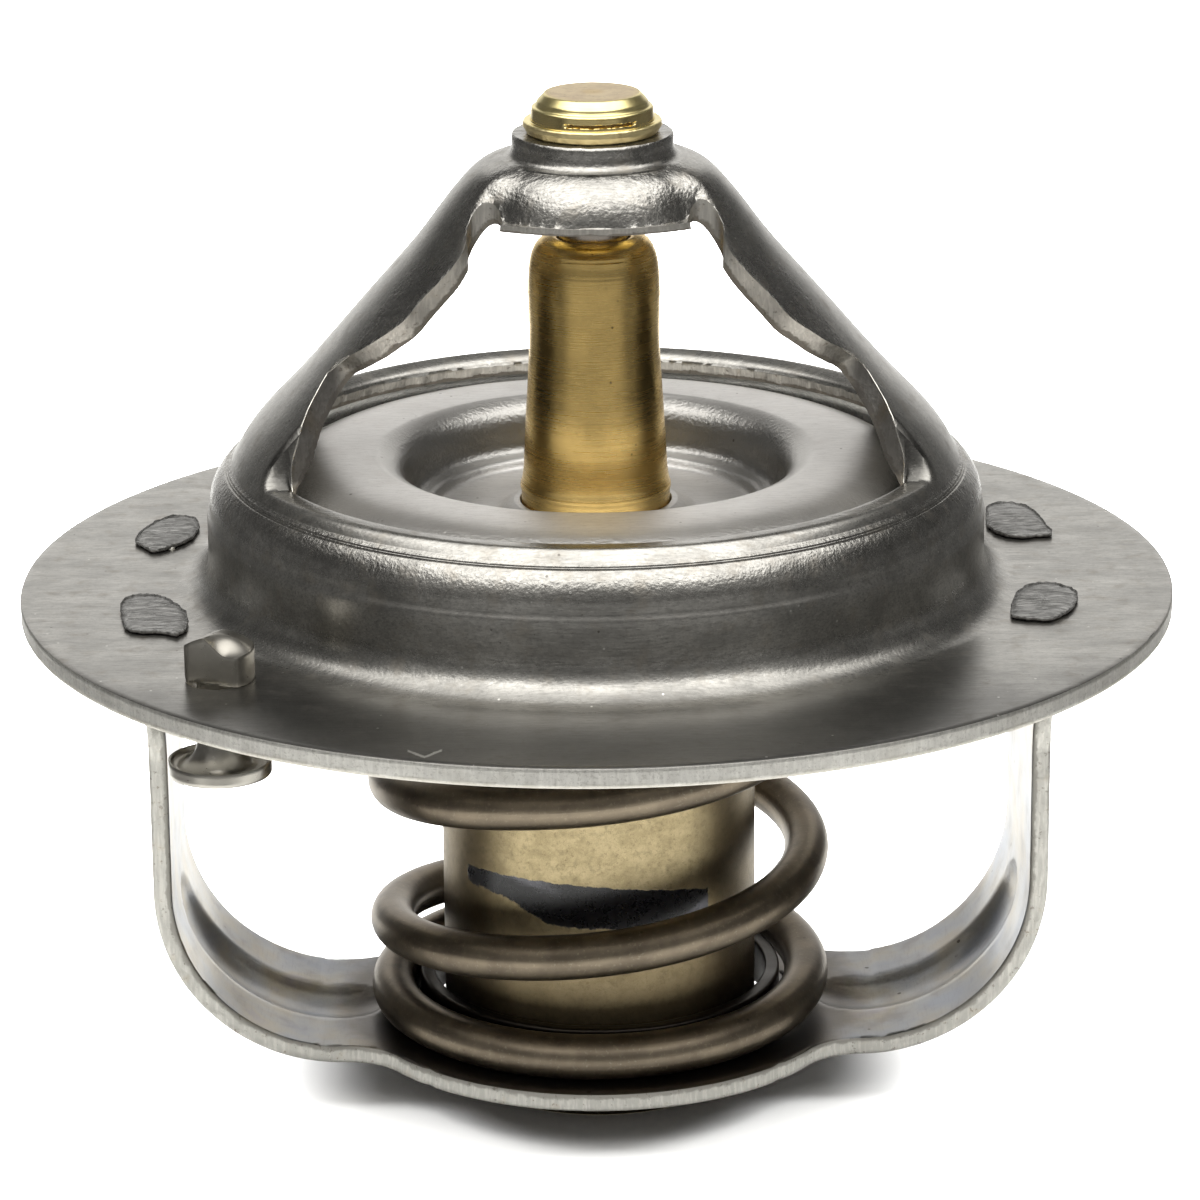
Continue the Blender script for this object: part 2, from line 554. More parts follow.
def cup_material(name):
    """Tarnished cup with scratches and a smear of black paint on its front."""
    n = Nodes(name)
    x, y, z = n.split()
    around = n.around(7.75)
    blot = n.noise(1.0, 4, 0.62, n.stretch((0.7, 1.0, 0.9), around))
    patina = n.noise(2.6, 4, 0.65)
    hair = n.noise(1.0, 3, 0.7, n.stretch((2.4, 1.0, 3.4), around), distort=2.6)
    hair2 = n.noise(1.0, 2, 0.6, n.stretch((1.1, 1.0, 0.5), around, rot=(0, 0.6, 0)), distort=3.5)
    base = n.mix(n.rng(blot, 0.38, 0.66), (0.56, 0.46, 0.27), (0.43, 0.35, 0.20))
    col = n.mix(n.math("MULTIPLY", n.rng(patina, 0.5, 0.72), 0.5), base, (0.30, 0.25, 0.15))
    hl = n.rng(n.math("ABSOLUTE", n.math("SUBTRACT", hair, 0.5)), 0.0, 0.014, 1.0, 0.0)
    col = n.mix(n.math("MULTIPLY", hl, 0.45), col, (0.17, 0.13, 0.07))
    hl2 = n.rng(n.math("ABSOLUTE", n.math("SUBTRACT", hair2, 0.5)), 0.0, 0.010, 1.0, 0.0)
    col = n.mix(n.math("MULTIPLY", hl2, 0.5), col, (0.62, 0.53, 0.30))
    soot = n.math("ADD", z, n.math("MULTIPLY", n.math("SUBTRACT", n.noise(0.5, 4, 0.6), 0.5), 3.0))
    low = n.rng(soot, -14.4, -16.2)
    col = n.mix(n.math("MULTIPLY", low, 0.55), col, (0.12, 0.085, 0.05))
    limb = n.rng(n.math("ABSOLUTE", x), 3.9, 6.2)
    col = n.mix(n.math("MULTIPLY", limb, 0.72), col, (0.115, 0.085, 0.052))
    col = n.mix(n.math("MULTIPLY", n.rng(z, -20.0, -23.0), 0.6), col, (0.06, 0.045, 0.03))
    # paint: a slanted smear on the front, thin and grey at its left end
    wob = n.math("MULTIPLY", n.math("SUBTRACT", n.noise(1.6, 4, 0.7), 0.5), 0.55)
    xs = n.math("ADD", x, 3.5)
    top = n.math("SUBTRACT", -13.2, n.math("MULTIPLY", n.math("MULTIPLY", xs, xs), 0.0132))
    foot = n.math("ADD", n.math("SUBTRACT", -15.55, n.math("MULTIPLY", x, 0.05)), n.rng(x, -2.2, -5.0))
    up = n.rng(n.math("SUBTRACT", n.math("ADD", z, n.math("MULTIPLY", wob, 0.5)), top), 0.03, -0.03, 0.0, 1.0, "LINEAR")
    dn = n.rng(n.math("SUBTRACT", n.math("ADD", z, wob), foot), -0.04, 0.04, 0.0, 1.0, "LINEAR")
    lf = n.rng(n.math("ADD", x, wob), -6.5, -6.4, 0.0, 1.0, "LINEAR")
    rt = n.rng(n.math("ADD", x, n.math("MULTIPLY", wob, 0.15)), 5.2, 5.15, 0.0, 1.0, "LINEAR")
    fr = n.rng(y, 0.0, -0.5, 0.0, 1.0, "LINEAR")
    mask = n.math("MULTIPLY", n.math("MULTIPLY", up, dn), n.math("MULTIPLY", n.math("MULTIPLY", lf, rt), fr))
    brush = n.noise(1.0, 3, 0.6, n.stretch((0.5, 1.0, 5.0), around))
    thin = n.rng(n.math("ADD", x, n.math("MULTIPLY", brush, 2.6)), -0.4, -2.6)
    thin = n.math("MULTIPLY", thin, n.rng(n.math("SUBTRACT", n.math("ADD", z, n.math("MULTIPLY", x, 0.22)), n.math("MULTIPLY", brush, 0.8)), -14.9, -14.4))
    diag = n.rng(n.math("SUBTRACT", n.math("MULTIPLY", x, 0.62), n.math("ADD", z, 17.7)), -0.1, 0.25)
    sheen = n.math("MAXIMUM", thin, n.math("MULTIPLY", diag, n.rng(x, 1.6, 2.2)))
    ink = n.mix(n.math("MULTIPLY", sheen, n.rng(brush, 0.3, 0.6, 0.65, 1.0)), (0.006, 0.006, 0.007), (0.075, 0.075, 0.088))
    scum = n.rng(n.noise(5.5, 4, 0.7), 0.55, 0.68)
    col = n.mix(n.math("MULTIPLY", scum, 0.42), col, (0.20, 0.155, 0.085))
    col = n.mix(mask, col, ink)
    metal = n.math("SUBTRACT", 1.0, mask)
    rgh = n.math("ADD", 0.36, n.math("MULTIPLY", patina, 0.16))
    rgh = n.math("SUBTRACT", rgh, n.math("MULTIPLY", mask, 0.16))
    b = n.bump(n.math("MULTIPLY", patina, metal), 5e-6)
    b = n.bump(n.math("MULTIPLY", hl, metal), -3e-6, normal=b)
    b = n.bump(mask, 9e-6, normal=b)
    n.set(Base_Color=col, Metallic=metal, Roughness=rgh, Normal=b)
    return n.mat


def spring_material(name):
    """Drawn spring wire: brownish grey, fine draw lines along the wire."""
    n = Nodes(name)
    uvn = n.t.nodes.new("ShaderNodeAttribute")
    uvn.attribute_name = "along"
    uva = n.t.nodes.new("ShaderNodeAttribute")
    uva.attribute_name = "turnpos"
    comb = n.t.nodes.new("ShaderNodeCombineXYZ")
    n.t.links.new(uvn.outputs["Fac"], comb.inputs[0])
    n.t.links.new(uva.outputs["Fac"], comb.inputs[1])
    vec = comb.outputs[0]
    draw = n.noise(1.0, 3, 0.6, n.stretch((0.12, 7.0, 1.0), vec))
    fine = n.noise(6.0, 3, 0.6)
    blot = n.noise(0.5, 3, 0.6)
    col = n.mix(n.rng(blot, 0.35, 0.7), (0.215, 0.178, 0.130), (0.150, 0.124, 0.092))
    col = n.mix(n.math("MULTIPLY", n.rng(draw, 0.5, 0.75), 0.4), col, (0.16, 0.135, 0.105))
    col = n.mix(n.math("MULTIPLY", n.rng(fine, 0.55, 0.75), 0.4), col, (0.36, 0.31, 0.235))
    cell = n.voronoi(1.0)
    sp = n.math("MULTIPLY", n.rng(cell, 0.05, 0.10, 1.0, 0.0), n.rng(n.noise(0.5, 1), 0.52, 0.6))
    col = n.mix(n.math("MULTIPLY", sp, 0.6), col, (0.08, 0.065, 0.05))
    b = n.bump(draw, 6e-6)
    b = n.bump(fine, 5e-6, normal=b)
    n.set(Base_Color=col, Metallic=1.0, Roughness=n.math("ADD", 0.30, n.math("MULTIPLY", fine, 0.14)), Normal=b)
    return n.mat


def strap_material(name):
    """Pressed strap: smooth sheet with faint heat tints and dark specks."""
    n = Nodes(name)
    grain = n.noise(1.0, 3, 0.6, n.stretch((9.0, 0.9, 9.0)))
    tint = n.noise(0.33, 3, 0.55)
    tint2 = n.noise(0.55, 3, 0.6, n.stretch((1, 1, 1), loc=(5.0, 1.0, 9.0)))
    base = n.ramp(tint, [(0.30, (0.28, 0.295, 0.33)), (0.48, (0.33, 0.326, 0.322)), (0.62, (0.35, 0.318, 0.265)), (0.75, (0.30, 0.28, 0.29))])
    col = n.mix(n.math("MULTIPLY", n.rng(tint2, 0.5, 0.75), 0.5), base, (0.23, 0.215, 0.205))
    col = n.mix(n.math("MULTIPLY", n.rng(grain, 0.5, 0.75), 0.25), col, (0.19, 0.185, 0.18))
    cell = n.voronoi(0.62)
    sp = n.math("MULTIPLY", n.rng(cell, 0.05, 0.085, 1.0, 0.0), n.rng(n.noise(0.4, 1), 0.46, 0.54))
    col = n.mix(n.math("MULTIPLY", sp, 0.85), col, (0.07, 0.06, 0.055))
    rad = n.radius()
    dirt = n.rng(n.math("ADD", rad, n.math("MULTIPLY", n.noise(0.8, 3), 1.2)), 14.6, 12.6)
    col = n.mix(n.math("MULTIPLY", dirt, 0.80), col, (0.075, 0.062, 0.050))
    col = n.mix(n.math("MULTIPLY", n.rng(rad, 10.2, 9.4), 0.85), col, (0.030, 0.026, 0.022))
    b = n.bump(grain, 2.5e-6)
    b = n.bump(n.noise(5.0, 3, 0.6), 3.5e-6, normal=b)
    n.set(Base_Color=col, Metallic=1.0, Roughness=n.math("ADD", 0.27, n.math("MULTIPLY", tint2, 0.14)), Normal=b)
    return n.mat


def tab_material(name):
    """Hammered tab ends: fibrous dark and pale striations along X."""
    n = Nodes(name)
    fib = n.noise(1.0, 4, 0.7, n.stretch((0.9, 7.0, 7.0)))
    fib2 = n.noise(1.0, 3, 0.6, n.stretch((2.0, 15.0, 15.0)))
    low = n.rng(n.split()[2], 0.11, 0.04)
    col = n.mix(n.rng(fib, 0.36, 0.64), (0.075, 0.074, 0.070), (0.20, 0.197, 0.19))
    col = n.mix(n.math("MULTIPLY", n.rng(fib2, 0.52, 0.7), 0.35), col, (0.30, 0.297, 0.285))
    col = n.mix(low, col, (0.035, 0.033, 0.030))
    b = n.bump(fib, 38e-6)
    b = n.bump(fib2, 14e-6, normal=b)
    n.set(Base_Color=col, Metallic=0.8, Roughness=0.55, Normal=b)
    return n.mat


def polished_material(name, base, rough, grain_scale=(6, 6, 6)):
    """Barrelled or ground steel with a light haze."""
    n = Nodes(name)
    haze = n.noise(1.0, 3, 0.6, n.stretch(grain_scale))
    blot = n.noise(0.8, 2, 0.5)
    col = n.mix(n.rng(blot, 0.35, 0.7), base, tuple(c * 0.86 for c in base))
    cell = n.voronoi(1.3)
    sp = n.math("MULTIPLY", n.rng(cell, 0.05, 0.09, 1.0, 0.0), n.rng(n.noise(0.8, 1), 0.55, 0.62))
    col = n.mix(n.math("MULTIPLY", sp, 0.5), col, (0.08, 0.07, 0.06))
    b = n.bump(haze, 1.4e-6)
    n.set(Base_Color=col, Metallic=1.0, Roughness=n.math("ADD", rough, n.math("MULTIPLY", haze, 0.08)), Normal=b)
    return n.mat


def plain_material(name, base, rough, bump_scale, bump_dist, metallic=0.0):
    """Rubber, plastic or wax: colour breaks up a little and the skin has a fine texture."""
    n = Nodes(name)
    t = n.noise(bump_scale, 3, 0.6)
    blot = n.noise(0.7, 3, 0.6)
    col = n.mix(n.rng(blot, 0.35, 0.7), base, tuple(c * 0.75 for c in base))
    n.set(Base_Color=col, Metallic=metallic, Roughness=n.math("ADD", rough, n.math("MULTIPLY", t, 0.1)), Normal=n.bump(t, bump_dist))
    return n.mat


def floor_material():
    n = Nodes("floor_pale")
    t = n.noise(0.02, 2, 0.5)
    col = n.mix(t, (0.93, 0.93, 0.925), (0.95, 0.95, 0.945))
    n.set(Base_Color=col, Roughness=0.65)
    n.bsdf.inputs["Specular IOR Level"].default_value = 0.2
    return n.mat


def card_material():
    n = Nodes("sweep_card_white")
    t = n.noise(0.02, 2, 0.5)
    n.set(Base_Color=n.mix(t, (0.37, 0.37, 0.36), (0.39, 0.39, 0.38)), Roughness=0.9)
    n.bsdf.inputs["Specular IOR Level"].default_value = 0.0
    return n.mat


M_SHEET = sheet_material("bridge_sheet")
M_SHEAR = sheared_material("pierced_edge")
M_RIM = rim_material("flange_rim_edge")
M_VALVE = valve_material("valve_plate_steel")
M_PLUG = brass_turned("plug_brass", (0.96, 0.83, 0.40), 0.22, 9.0, (0.74, 0.56, 0.20), 0.35, 2e-6, 0.35)
M_PLUG_TOP = brass_face_material("plug_top_brass")
M_PLUG_LOW = brass_turned("plug_skirt_brass", (0.93, 0.78, 0.42), 0.30, 1.2, (0.55, 0.36, 0.14), 0.5, 7e-6, 0.5)
M_GUIDE = brass_turned("guide_brass", (0.90, 0.645, 0.24), 0.20, 5.5, (0.58, 0.39, 0.13), 0.9, 1.1e-6, 0.20)
M_CUP = cup_material("cup_brass")
M_SPRING = spring_material("spring_wire")
M_STRAP = strap_material("strap_sheet")
M_STRAP_EDGE = sheared_material("strap_edge", (0.50, 0.49, 0.455), (0.36, 0.35, 0.32))
M_TAB = tab_material("staked_tab")
M_NICKEL = polished_material("vent_pin_steel", (0.40, 0.383, 0.345), 0.25)
M_ROD = polished_material("piston_steel", (0.60, 0.55, 0.49), 0.20, (3, 3, 14))
M_RUBBER = plain_material("seal_rubber", (0.025, 0.025, 0.026), 0.55, 6.0, 8e-6)
M_RING = plain_material("backup_plastic", (0.80, 0.79, 0.74), 0.45, 5.0, 4e-6)
M_WAX = plain_material("wax_copper_filled", (0.42, 0.24, 0.14), 0.60, 4.0, 10e-6)


# ------------------------------------------------------------------ camera
def photo_camera():
    """Camera fitted to the flange, drum and valve circles; the object stands 1.1 degrees off square."""
    dist, el, f_px = 247.602, math.radians(17.532), 5072.05
    pan, tilt, roll = math.radians(0.037), math.radians(-0.283), math.radians(-0.507)
    c = Vector((0, -dist * math.cos(el), dist * math.sin(el)))
    fw = (-c).normalized()
    right = Vector((1, 0, 0))
    up = right.cross(fw)
    f2 = (fw * math.cos(tilt) * math.cos(pan) + right * math.sin(pan) * math.cos(tilt) + up * math.sin(tilt)).normalized()
    r2 = f2.cross(Vector((0, 0, 1))).normalized()
    u2 = r2.cross(f2)
    r3 = r2 * math.cos(roll) + u2 * math.sin(roll)
    u3 = -r2 * math.sin(roll) + u2 * math.cos(roll)
    m = Matrix((r3, u3, -f2)).transposed().to_4x4()
    m.translation = (c + Vector((0, 0, F))) * MM
    turn = Matrix.Rotation(math.radians(-1.1), 4, "Z")
    cam = bpy.data.objects.new("photo_camera", bpy.data.cameras.new("photo_camera"))
    cam.data.sensor_width = 36.0
    cam.data.sensor_height = 36.0
    cam.data.sensor_fit = "HORIZONTAL"
    cam.data.lens = f_px / 1200.0 * 36.0
    cam.data.clip_start = 0.01
    cam.data.clip_end = 20.0
    cam.matrix_world = turn @ m
    scene.collection.objects.link(cam)
    scene.camera = cam
    return cam


camera = photo_camera()

# ------------------------------------------------------------------ bridge sheet
ARM_SIDE = [
    (6.0, 4.42), (6.17, 4.97), (6.6, 5.25), (7.06, 5.36), (7.84, 5.43), (8.49, 5.55), (9.11, 5.68),
    (9.51, 5.58), (10.07, 5.34), (10.66, 5.05), (11.4, 4.5), (11.8, 4.12), (12.13, 3.78), (12.37, 3.65), (12.6, 3.70),
    (12.92, 3.93), (13.24, 4.33), (13.51, 4.72), (13.73, 5.15), (13.88, 5.60), (14.02, 5.87), (14.17, 6.05), (14.33, 6.21),
    (14.44, 6.34), (14.47, 6.45), (14.45, 6.56), (14.42, 6.72), (14.41, 6.86),
]
cone_out = spline([(17.62, 6.1), (17.0, 7.2), (14.8, 9.7), (12.0, 12.88), (9.3, 15.98), (8.36, 17.1),
                   (7.25, 18.6), (6.28, 19.8), (5.4, 20.6), (4.5, 20.98)])[::-1]
cone_in = spline([(4.5, 19.9), (5.0, 19.72), (5.6, 19.2), (6.42, 18.02), (7.52, 16.45), (8.5, 15.28),
                  (11.2, 12.18), (14.0, 9.0), (16.2, 6.55), (16.75, 5.95)])
cone_in = np.vstack([cone_in, [(17.2, 5.4), (17.55, 4.85), (17.75, 4.35), (17.84, 3.9)]])
crown_out = spline([(6.06, 18.78), (6.02, 18.95), (5.83, 19.49), (5.58, 19.93), (5.25, 20.34), (4.81, 20.71), (4.2, 21.02)])[::-1]
crown_in = spline([(3.75, 20.0), (4.4, 19.83), (5.0, 19.42), (5.5, 19.02), (5.8, 18.70), (6.06, 18.46)])
lip_out = spline([(15.0, 6.2), (15.7, 6.36), (16.0, 6.52), (16.12, 6.68), (16.3, 6.81), (16.6, 6.93), (16.78, 6.99), (16.92, 7.02), (17.05, 6.98),
                  (17.18, 6.86), (17.32, 6.67), (17.46, 6.44), (17.56, 6.22), (17.62, 6.1)])
lip_front = spline([(15.0, 6.40), (15.7, 6.46), (16.0, 6.52), (16.12, 6.57), (16.4, 6.62), (16.8, 6.64), (17.1, 6.62),
                    (17.22, 6.56), (17.36, 6.43), (17.5, 6.26), (17.62, 6.1)])
lip_in = np.array([(15.0, 5.93), (16.3, 5.93), (16.6, 5.87), (16.95, 5.7), (17.3, 5.42), (17.58, 5.0), (17.76, 4.5), (17.84, 3.9)])


def arm_angle(a):
    """Degrees away from the X axis: 0 to 90 behind the arms, 180 to 90 in front of them."""
    d = abs(math.degrees(a)) % 180.0
    d = min(d, 180.0 - d)
    return 180.0 - d if math.sin(a) < 0 else d


def crown_edge(dev):
    """Plan radius of the collar's lower edge."""
    return 6.12 + 0.78 * (max(0.0, min(1.0, (90.0 - min(dev, 180.0 - dev)) / 50.5))) ** 2.2


def warp(r, dev):
    """Grid radius bent so that one row of the sheet follows the collar's edge."""
    edge = crown_edge(dev)
    if r <= 4.2 or r >= 8.5:
        return r
    if r <= 6.9:
        return 4.2 + (r - 4.2) * (edge - 4.2) / 2.7
    return edge + (r - 6.9) * (8.5 - edge) / 1.6


def lip_share(r, dev):
    """How far the arm's foot has settled into the seat ring."""
    return float(smooth(22.3, 25.3, dev)) * float(smooth(13.4, 15.4, r))


def z_outer(r, dev):
    lip_line = lip_front if dev > 90 else lip_out
    dev = min(dev, 180.0 - dev)
    cone = float(np.interp(r, cone_out[:, 0], cone_out[:, 1]))
    if r < 6.9:
        w = float(smooth(30, 48, dev))
        cr = float(np.interp(r, crown_out[:, 0], crown_out[:, 1]))
        cone = cone + (cr - cone) * w
    elif r < 8.5 and dev > 30:
        w = float(smooth(30, 48, dev)) * (8.5 - r) / 1.6
        cone = cone + (18.78 - float(np.interp(6.9, cone_out[:, 0], cone_out[:, 1]))) * w
    if r > 12.5:
        w = lip_share(r, dev)
        lip = float(np.interp(r, lip_line[:, 0], lip_line[:, 1]))
        cone = cone + (lip - cone) * w
        cone -= 0.05 * math.exp(-((r - 15.97) / 0.06) ** 2) * float(smooth(22.8, 24.6, dev))
    return cone


def z_inner(r, dev):
    dev = min(dev, 180.0 - dev)
    cone = float(np.interp(r, cone_in[:, 0], cone_in[:, 1]))
    if r < 6.9:
        w = float(smooth(30, 48, dev))
        cr = float(np.interp(r, crown_in[:, 0], crown_in[:, 1]))
        cone = cone + (cr - cone) * w if r > 4.5 else cr
    elif r < 8.5 and dev > 30:
        w = float(smooth(30, 48, dev)) * (8.5 - r) / 1.6
        cone = cone + (18.55 - float(np.interp(6.9, cone_in[:, 0], cone_in[:, 1]))) * w
    if r > 12.5:
        w = lip_share(r, dev)
        lip = float(np.interp(r, lip_in[:, 0], lip_in[:, 1]))
        cone = cone + (lip - cone) * w
    return cone


def build_bridge():
    # fixed part of the section: flange, root, drum
    rim = chain([(26.0, 0), (27.0, 0), (27.6, 0.0), (27.86, -0.012), (27.95, -0.05), (27.985, -0.12)],
                line((27.985, -0.12), (27.985, -0.9), 6), [(27.95, -0.96), (27.8, -0.995), (27.0, -1.0)])
    top = chain(line((20.59, 0.0), (26.0, 0.0), 12))[::-1]
    root = arc3((20.59, 0.0), (20.59 - 1.75 * math.sin(math.pi / 4), 1.75 * (1 - math.cos(math.pi / 4))), (18.84, 1.75), 12)
    wall = chain(line((18.84, 1.75), (18.84, 3.6), 6), [(18.825, 3.72), (18.79, 3.82), (18.745, 3.92), (18.72, 4.05)])
    shoulder = [(18.70, 4.25)]
    for r, z in arc3((18.70, 4.3), (18.34, 5.40), (17.62, 6.1), 90):
        # two fine lines round the ring where the drum was struck
        cut = 0.055 * math.exp(-((r - 17.90) / 0.028) ** 2) + 0.05 * math.exp(-((r - 17.80) / 0.026) ** 2)
        step = 0.022 if 17.72 < r < 17.98 else 0.13
        if math.hypot(r - shoulder[-1][0], z - shoulder[-1][1]) >= step:
            shoulder.append((r, z))
            if cut > 0.002:
                shoulder[-1] = (r - 0.5 * cut, z - 0.87 * cut)
    shoulder.append((17.62, 6.1))
    out_fixed = chain(top, root, wall, shoulder)
    r_out = sorted(set(np.round(np.concatenate([
        np.linspace(17.56, 17.1, 9), np.linspace(17.0, 16.2, 7), np.linspace(16.12, 15.84, 6),
        np.linspace(15.7, 12.5, 17), np.linspace(12.3, 8.5, 15), np.linspace(8.2, 7.1, 4), np.linspace(6.9, 4.5, 24)]), 4)))[::-1]
    neck = chain([(4.45, 21.0)], arc3((4.45, 21.0), (4.02, 21.13), (3.87, 21.45), 6), line((3.87, 21.45), (3.87, 21.95), 3),
                 [(3.84, 22.04), (3.77, 22.1), (3.4, 22.1), (3.05, 22.1)], line((3.05, 22.1), (3.05, 20.7), 4),
                 arc3((3.05, 20.7), (3.25, 20.2), (3.75, 20.0), 5))
    r_in = [float(v) for v in np.concatenate([np.linspace(3.95, 12.4, 34), np.linspace(12.7, 17.84, 26)])]
    inner_wall = line((17.84, 3.7), (17.84, 1.75), 4)
    inner_root = arc3((17.84, 1.75), (20.59 - 2.75 * math.sin(math.pi / 4), 1.75 - 2.75 * math.cos(math.pi / 4)), (20.59, -1.0), 10)
    under = line((20.8, -1.0), (26.6, -1.0), 6)
    n_phi = 426
    verts, peel, slot, foot = [], [], [], []
    m = None
    rows = []
    for i in range(n_phi):
        a = 2 * math.pi * i / n_phi
        side = arm_angle(a)
        dev = min(side, 180.0 - side)
        prof, pl, mt = [], [], []
        for r, z in out_fixed:
            prof.append((r, z))
            p = float(smooth(3.9, 5.2, z)) * 0.95 if r < 19.2 else 0.0
            if r >= 19.2 or z < 1.9:
                p = 0.06 + 0.30 * float(smooth(21.6, 19.6, r))
            pl.append(p)
            mt.append(0)
        for r in r_out:
            r = warp(r, dev)
            z = z_outer(r, side)
            prof.append((r, z))
            cone_edge = float(smooth(9, 24, dev)) * float(smooth(16.5, 13.5, r))
            crownp = float(smooth(8.2, 6.6, r)) * float(smooth(14, 34, dev))
            ring = 0.16 * float(smooth(15.5, 17.5, r))
            lip = 0.40 * float(smooth(15.9, 16.5, r)) * float(smooth(17.3, 17.1, r)) * float(smooth(22, 27, dev))
            pl.append(max(0.26, 0.85 * cone_edge * float(smooth(7.5, 9.5, r)), crownp, ring, lip))
            mt.append(0)
        for r, z in neck:
            prof.append((r, z))
            pl.append(0.75 if z > 21.2 else 0.4)
            mt.append(0)
        for r in r_in:
            r = warp(r, dev)
            prof.append((r, z_inner(r, side)))
            pl.append(0.2)
            mt.append(0)
        for r, z in inner_wall + inner_root + under:
            prof.append((r, z))
            pl.append(0.1)
            mt.append(0)
        for r, z in rim[::-1]:
            prof.append((r, z))
            pl.append(0.0)
            mt.append(1 if r > 27.94 else 0)
        if m is None:
            m = len(prof)
            slot = mt
        ca, sa = math.cos(a), math.sin(a)
        for j, (r, z) in enumerate(prof):
            foot.append(float(smooth(13.9, 14.6, r)) * float(smooth(17.3, 16.5, r)) * float(smooth(20.8, 22.4, dev)) * float(smooth(27.5, 25.6, dev))
                        if z > 6.3 else 0.0)
            x, y = r * ca, r * sa
            d = 0.0
            if slot[j] == 1 and r > 27.9:
                d = -0.012 + 0.012 * fbm(x * 1.4, y * 1.4, z * 2.2, 3, 4.0) + 0.006 * fbm(x * 5, y * 5, z * 0.5, 2, 9.0)
                d = min(d, 0.0)
            elif 3.8 < r < 3.9 or (abs(z - 22.1) < 0.02):
                d = 0.0
                z = z + 0.03 * fbm(x * 2.0, y * 2.0, 0.0, 3, 2.0) * (1 if z > 21.9 else 0)
            verts.append(((r + d) * ca, (r + d) * sa, z))
        peel.extend(pl)
    faces, idx = [], []
    for i in range(n_phi):
        k = (i + 1) % n_phi
        for j in range(m):
            l = (j + 1) % m
            faces.append((i * m + j, k * m + j, k * m + l, i * m + l))
            idx.append(1 if (slot[j] == 1 and slot[l] == 1) else 0)
    obj = make_obj("bridge_shell", verts, faces, [M_SHEET, M_RIM, M_SHEAR], idx, 35, {"peel": peel, "shear": [0.0] * len(verts), "foot": foot})
    fix_normals(obj)
    return obj


def wall_slope(r, dev):
    """How far a cut square to the sheet moves inward for each millimetre down."""
    k = (z_outer(r - 0.15, dev) - z_outer(r + 0.15, dev)) / 0.3
    dev = min(dev, 180.0 - dev)
    lip = lip_share(r, dev)
    crown = float(smooth(8.0, 7.0, r)) * float(smooth(30, 44, dev))
    return max(0.0, min(1.3, k)) * (1 - lip) * (1 - crown)


def prism(name, outline, z0, z1, dz, amp, seed, tear=0.0):
    """Cutter with ragged walls: upright, or square to the sheet where it tears."""
    pts = np.array(outline, float)
    n = len(pts)
    nxt, prv = np.roll(pts, -1, axis=0), np.roll(pts, 1, axis=0)
    t = nxt - prv
    t /= np.hypot(t[:, 0], t[:, 1])[:, None]
    nor = np.stack([t[:, 1], -t[:, 0]], 1)
    rows = int(round((z1 - z0) / dz)) + 1
    sheet = []
    if tear:
        for x, y in pts:
            r, dev = math.hypot(x, y), arm_angle(math.atan2(y, x))
            sheet.append((z_outer(min(r, 17.6), dev), z_inner(min(r, 17.6), dev), wall_slope(r, dev), r))
        slope = np.array([q[2] for q in sheet])
        for _ in range(6):
            slope = (np.roll(slope, 1) + 2 * slope + np.roll(slope, -1)) / 4
    verts = []
    for k in range(rows):
        z = z0 + (z1 - z0) * k / (rows - 1)
        for i in range(n):
            x, y = pts[i]
            if tear:
                top, bottom, _, r0 = sheet[i]
                depth = max(-0.3, min(top - bottom + 0.3, top - z)) * slope[i]
                x, y = x * (1 - depth / r0), y * (1 - depth / r0)
            d = amp * (0.75 * fbm(x * 0.9, y * 0.9, z * 0.55, 3, seed) + 0.55 * fbm(x * 3.1, y * 3.1, z * 0.7, 2, seed + 5))
            if tear:
                r = math.hypot(x, y)
                dev = arm_angle(math.atan2(y, x))
                zo, zi = z_outer(min(r, 17.6), dev), z_inner(min(r, 17.6), dev)
                f = (zo - z) / max(0.2, zo - zi)
                torn = float(smooth(0.60, 0.74, f + 0.5 * fbm(x * 0.8, y * 0.8, 0.0, 3, seed + 2)))
                d += -tear * torn + 0.5 * tear * torn * fbm(x * 4, y * 4, z * 4, 2, seed + 8)
            verts.append((x + nor[i, 0] * d, y + nor[i, 1] * d, z))
    faces = []
    for k in range(rows - 1):
        for i in range(n):
            j = (i + 1) % n
            faces.append((k * n + i, k * n + j, (k + 1) * n + j, (k + 1) * n + i))
    faces.append(tuple(range(n))[::-1])
    faces.append(tuple((rows - 1) * n + i for i in range(n)))
    obj = make_obj(name, verts, faces, [M_SHEAR], None, 180, {"peel": [0.0] * len(verts), "shear": [0.0] * len(verts)})
    fix_normals(obj)
    return obj


def resample(points, step, closed=True):
    p = np.array(points, float)
    if closed:
        p = np.vstack([p, p[:1]])
    d = np.r_[0, np.cumsum(np.hypot(*np.diff(p, axis=0).T))]
    n = max(4, int(round(d[-1] / step)))
    s = np.linspace(0, d[-1], n + 1)
    out = np.stack([np.interp(s, d, p[:, 0]), np.interp(s, d, p[:, 1])], 1)
    return out[:-1] if closed else out


def window_outline(sign):
    """Plan outline of one window; sign is -1 for the front."""
    side = spline(ARM_SIDE, 10)
    a0 = math.radians(27.6)
    seat = [(16.0 * math.cos(t), 16.0 * math.sin(t)) for t in np.linspace(math.pi - a0, a0, 160)]
    b0 = math.radians(39.5)
    crown = []
    for t in np.linspace(b0, math.pi - b0, 80):
        rr = crown_edge(90.0 - math.degrees(abs(t - math.pi / 2))) - 0.01
        crown.append((rr * math.cos(t), rr * math.sin(t)))
    right = [tuple(p) for p in side[::-1]]
    left = [(-x, y) for x, y in side]
    loop = seat + right[1:] + crown + left[:-1]
    loop = [(x, sign * y) for x, y in loop]
    return resample(loop, 0.16)


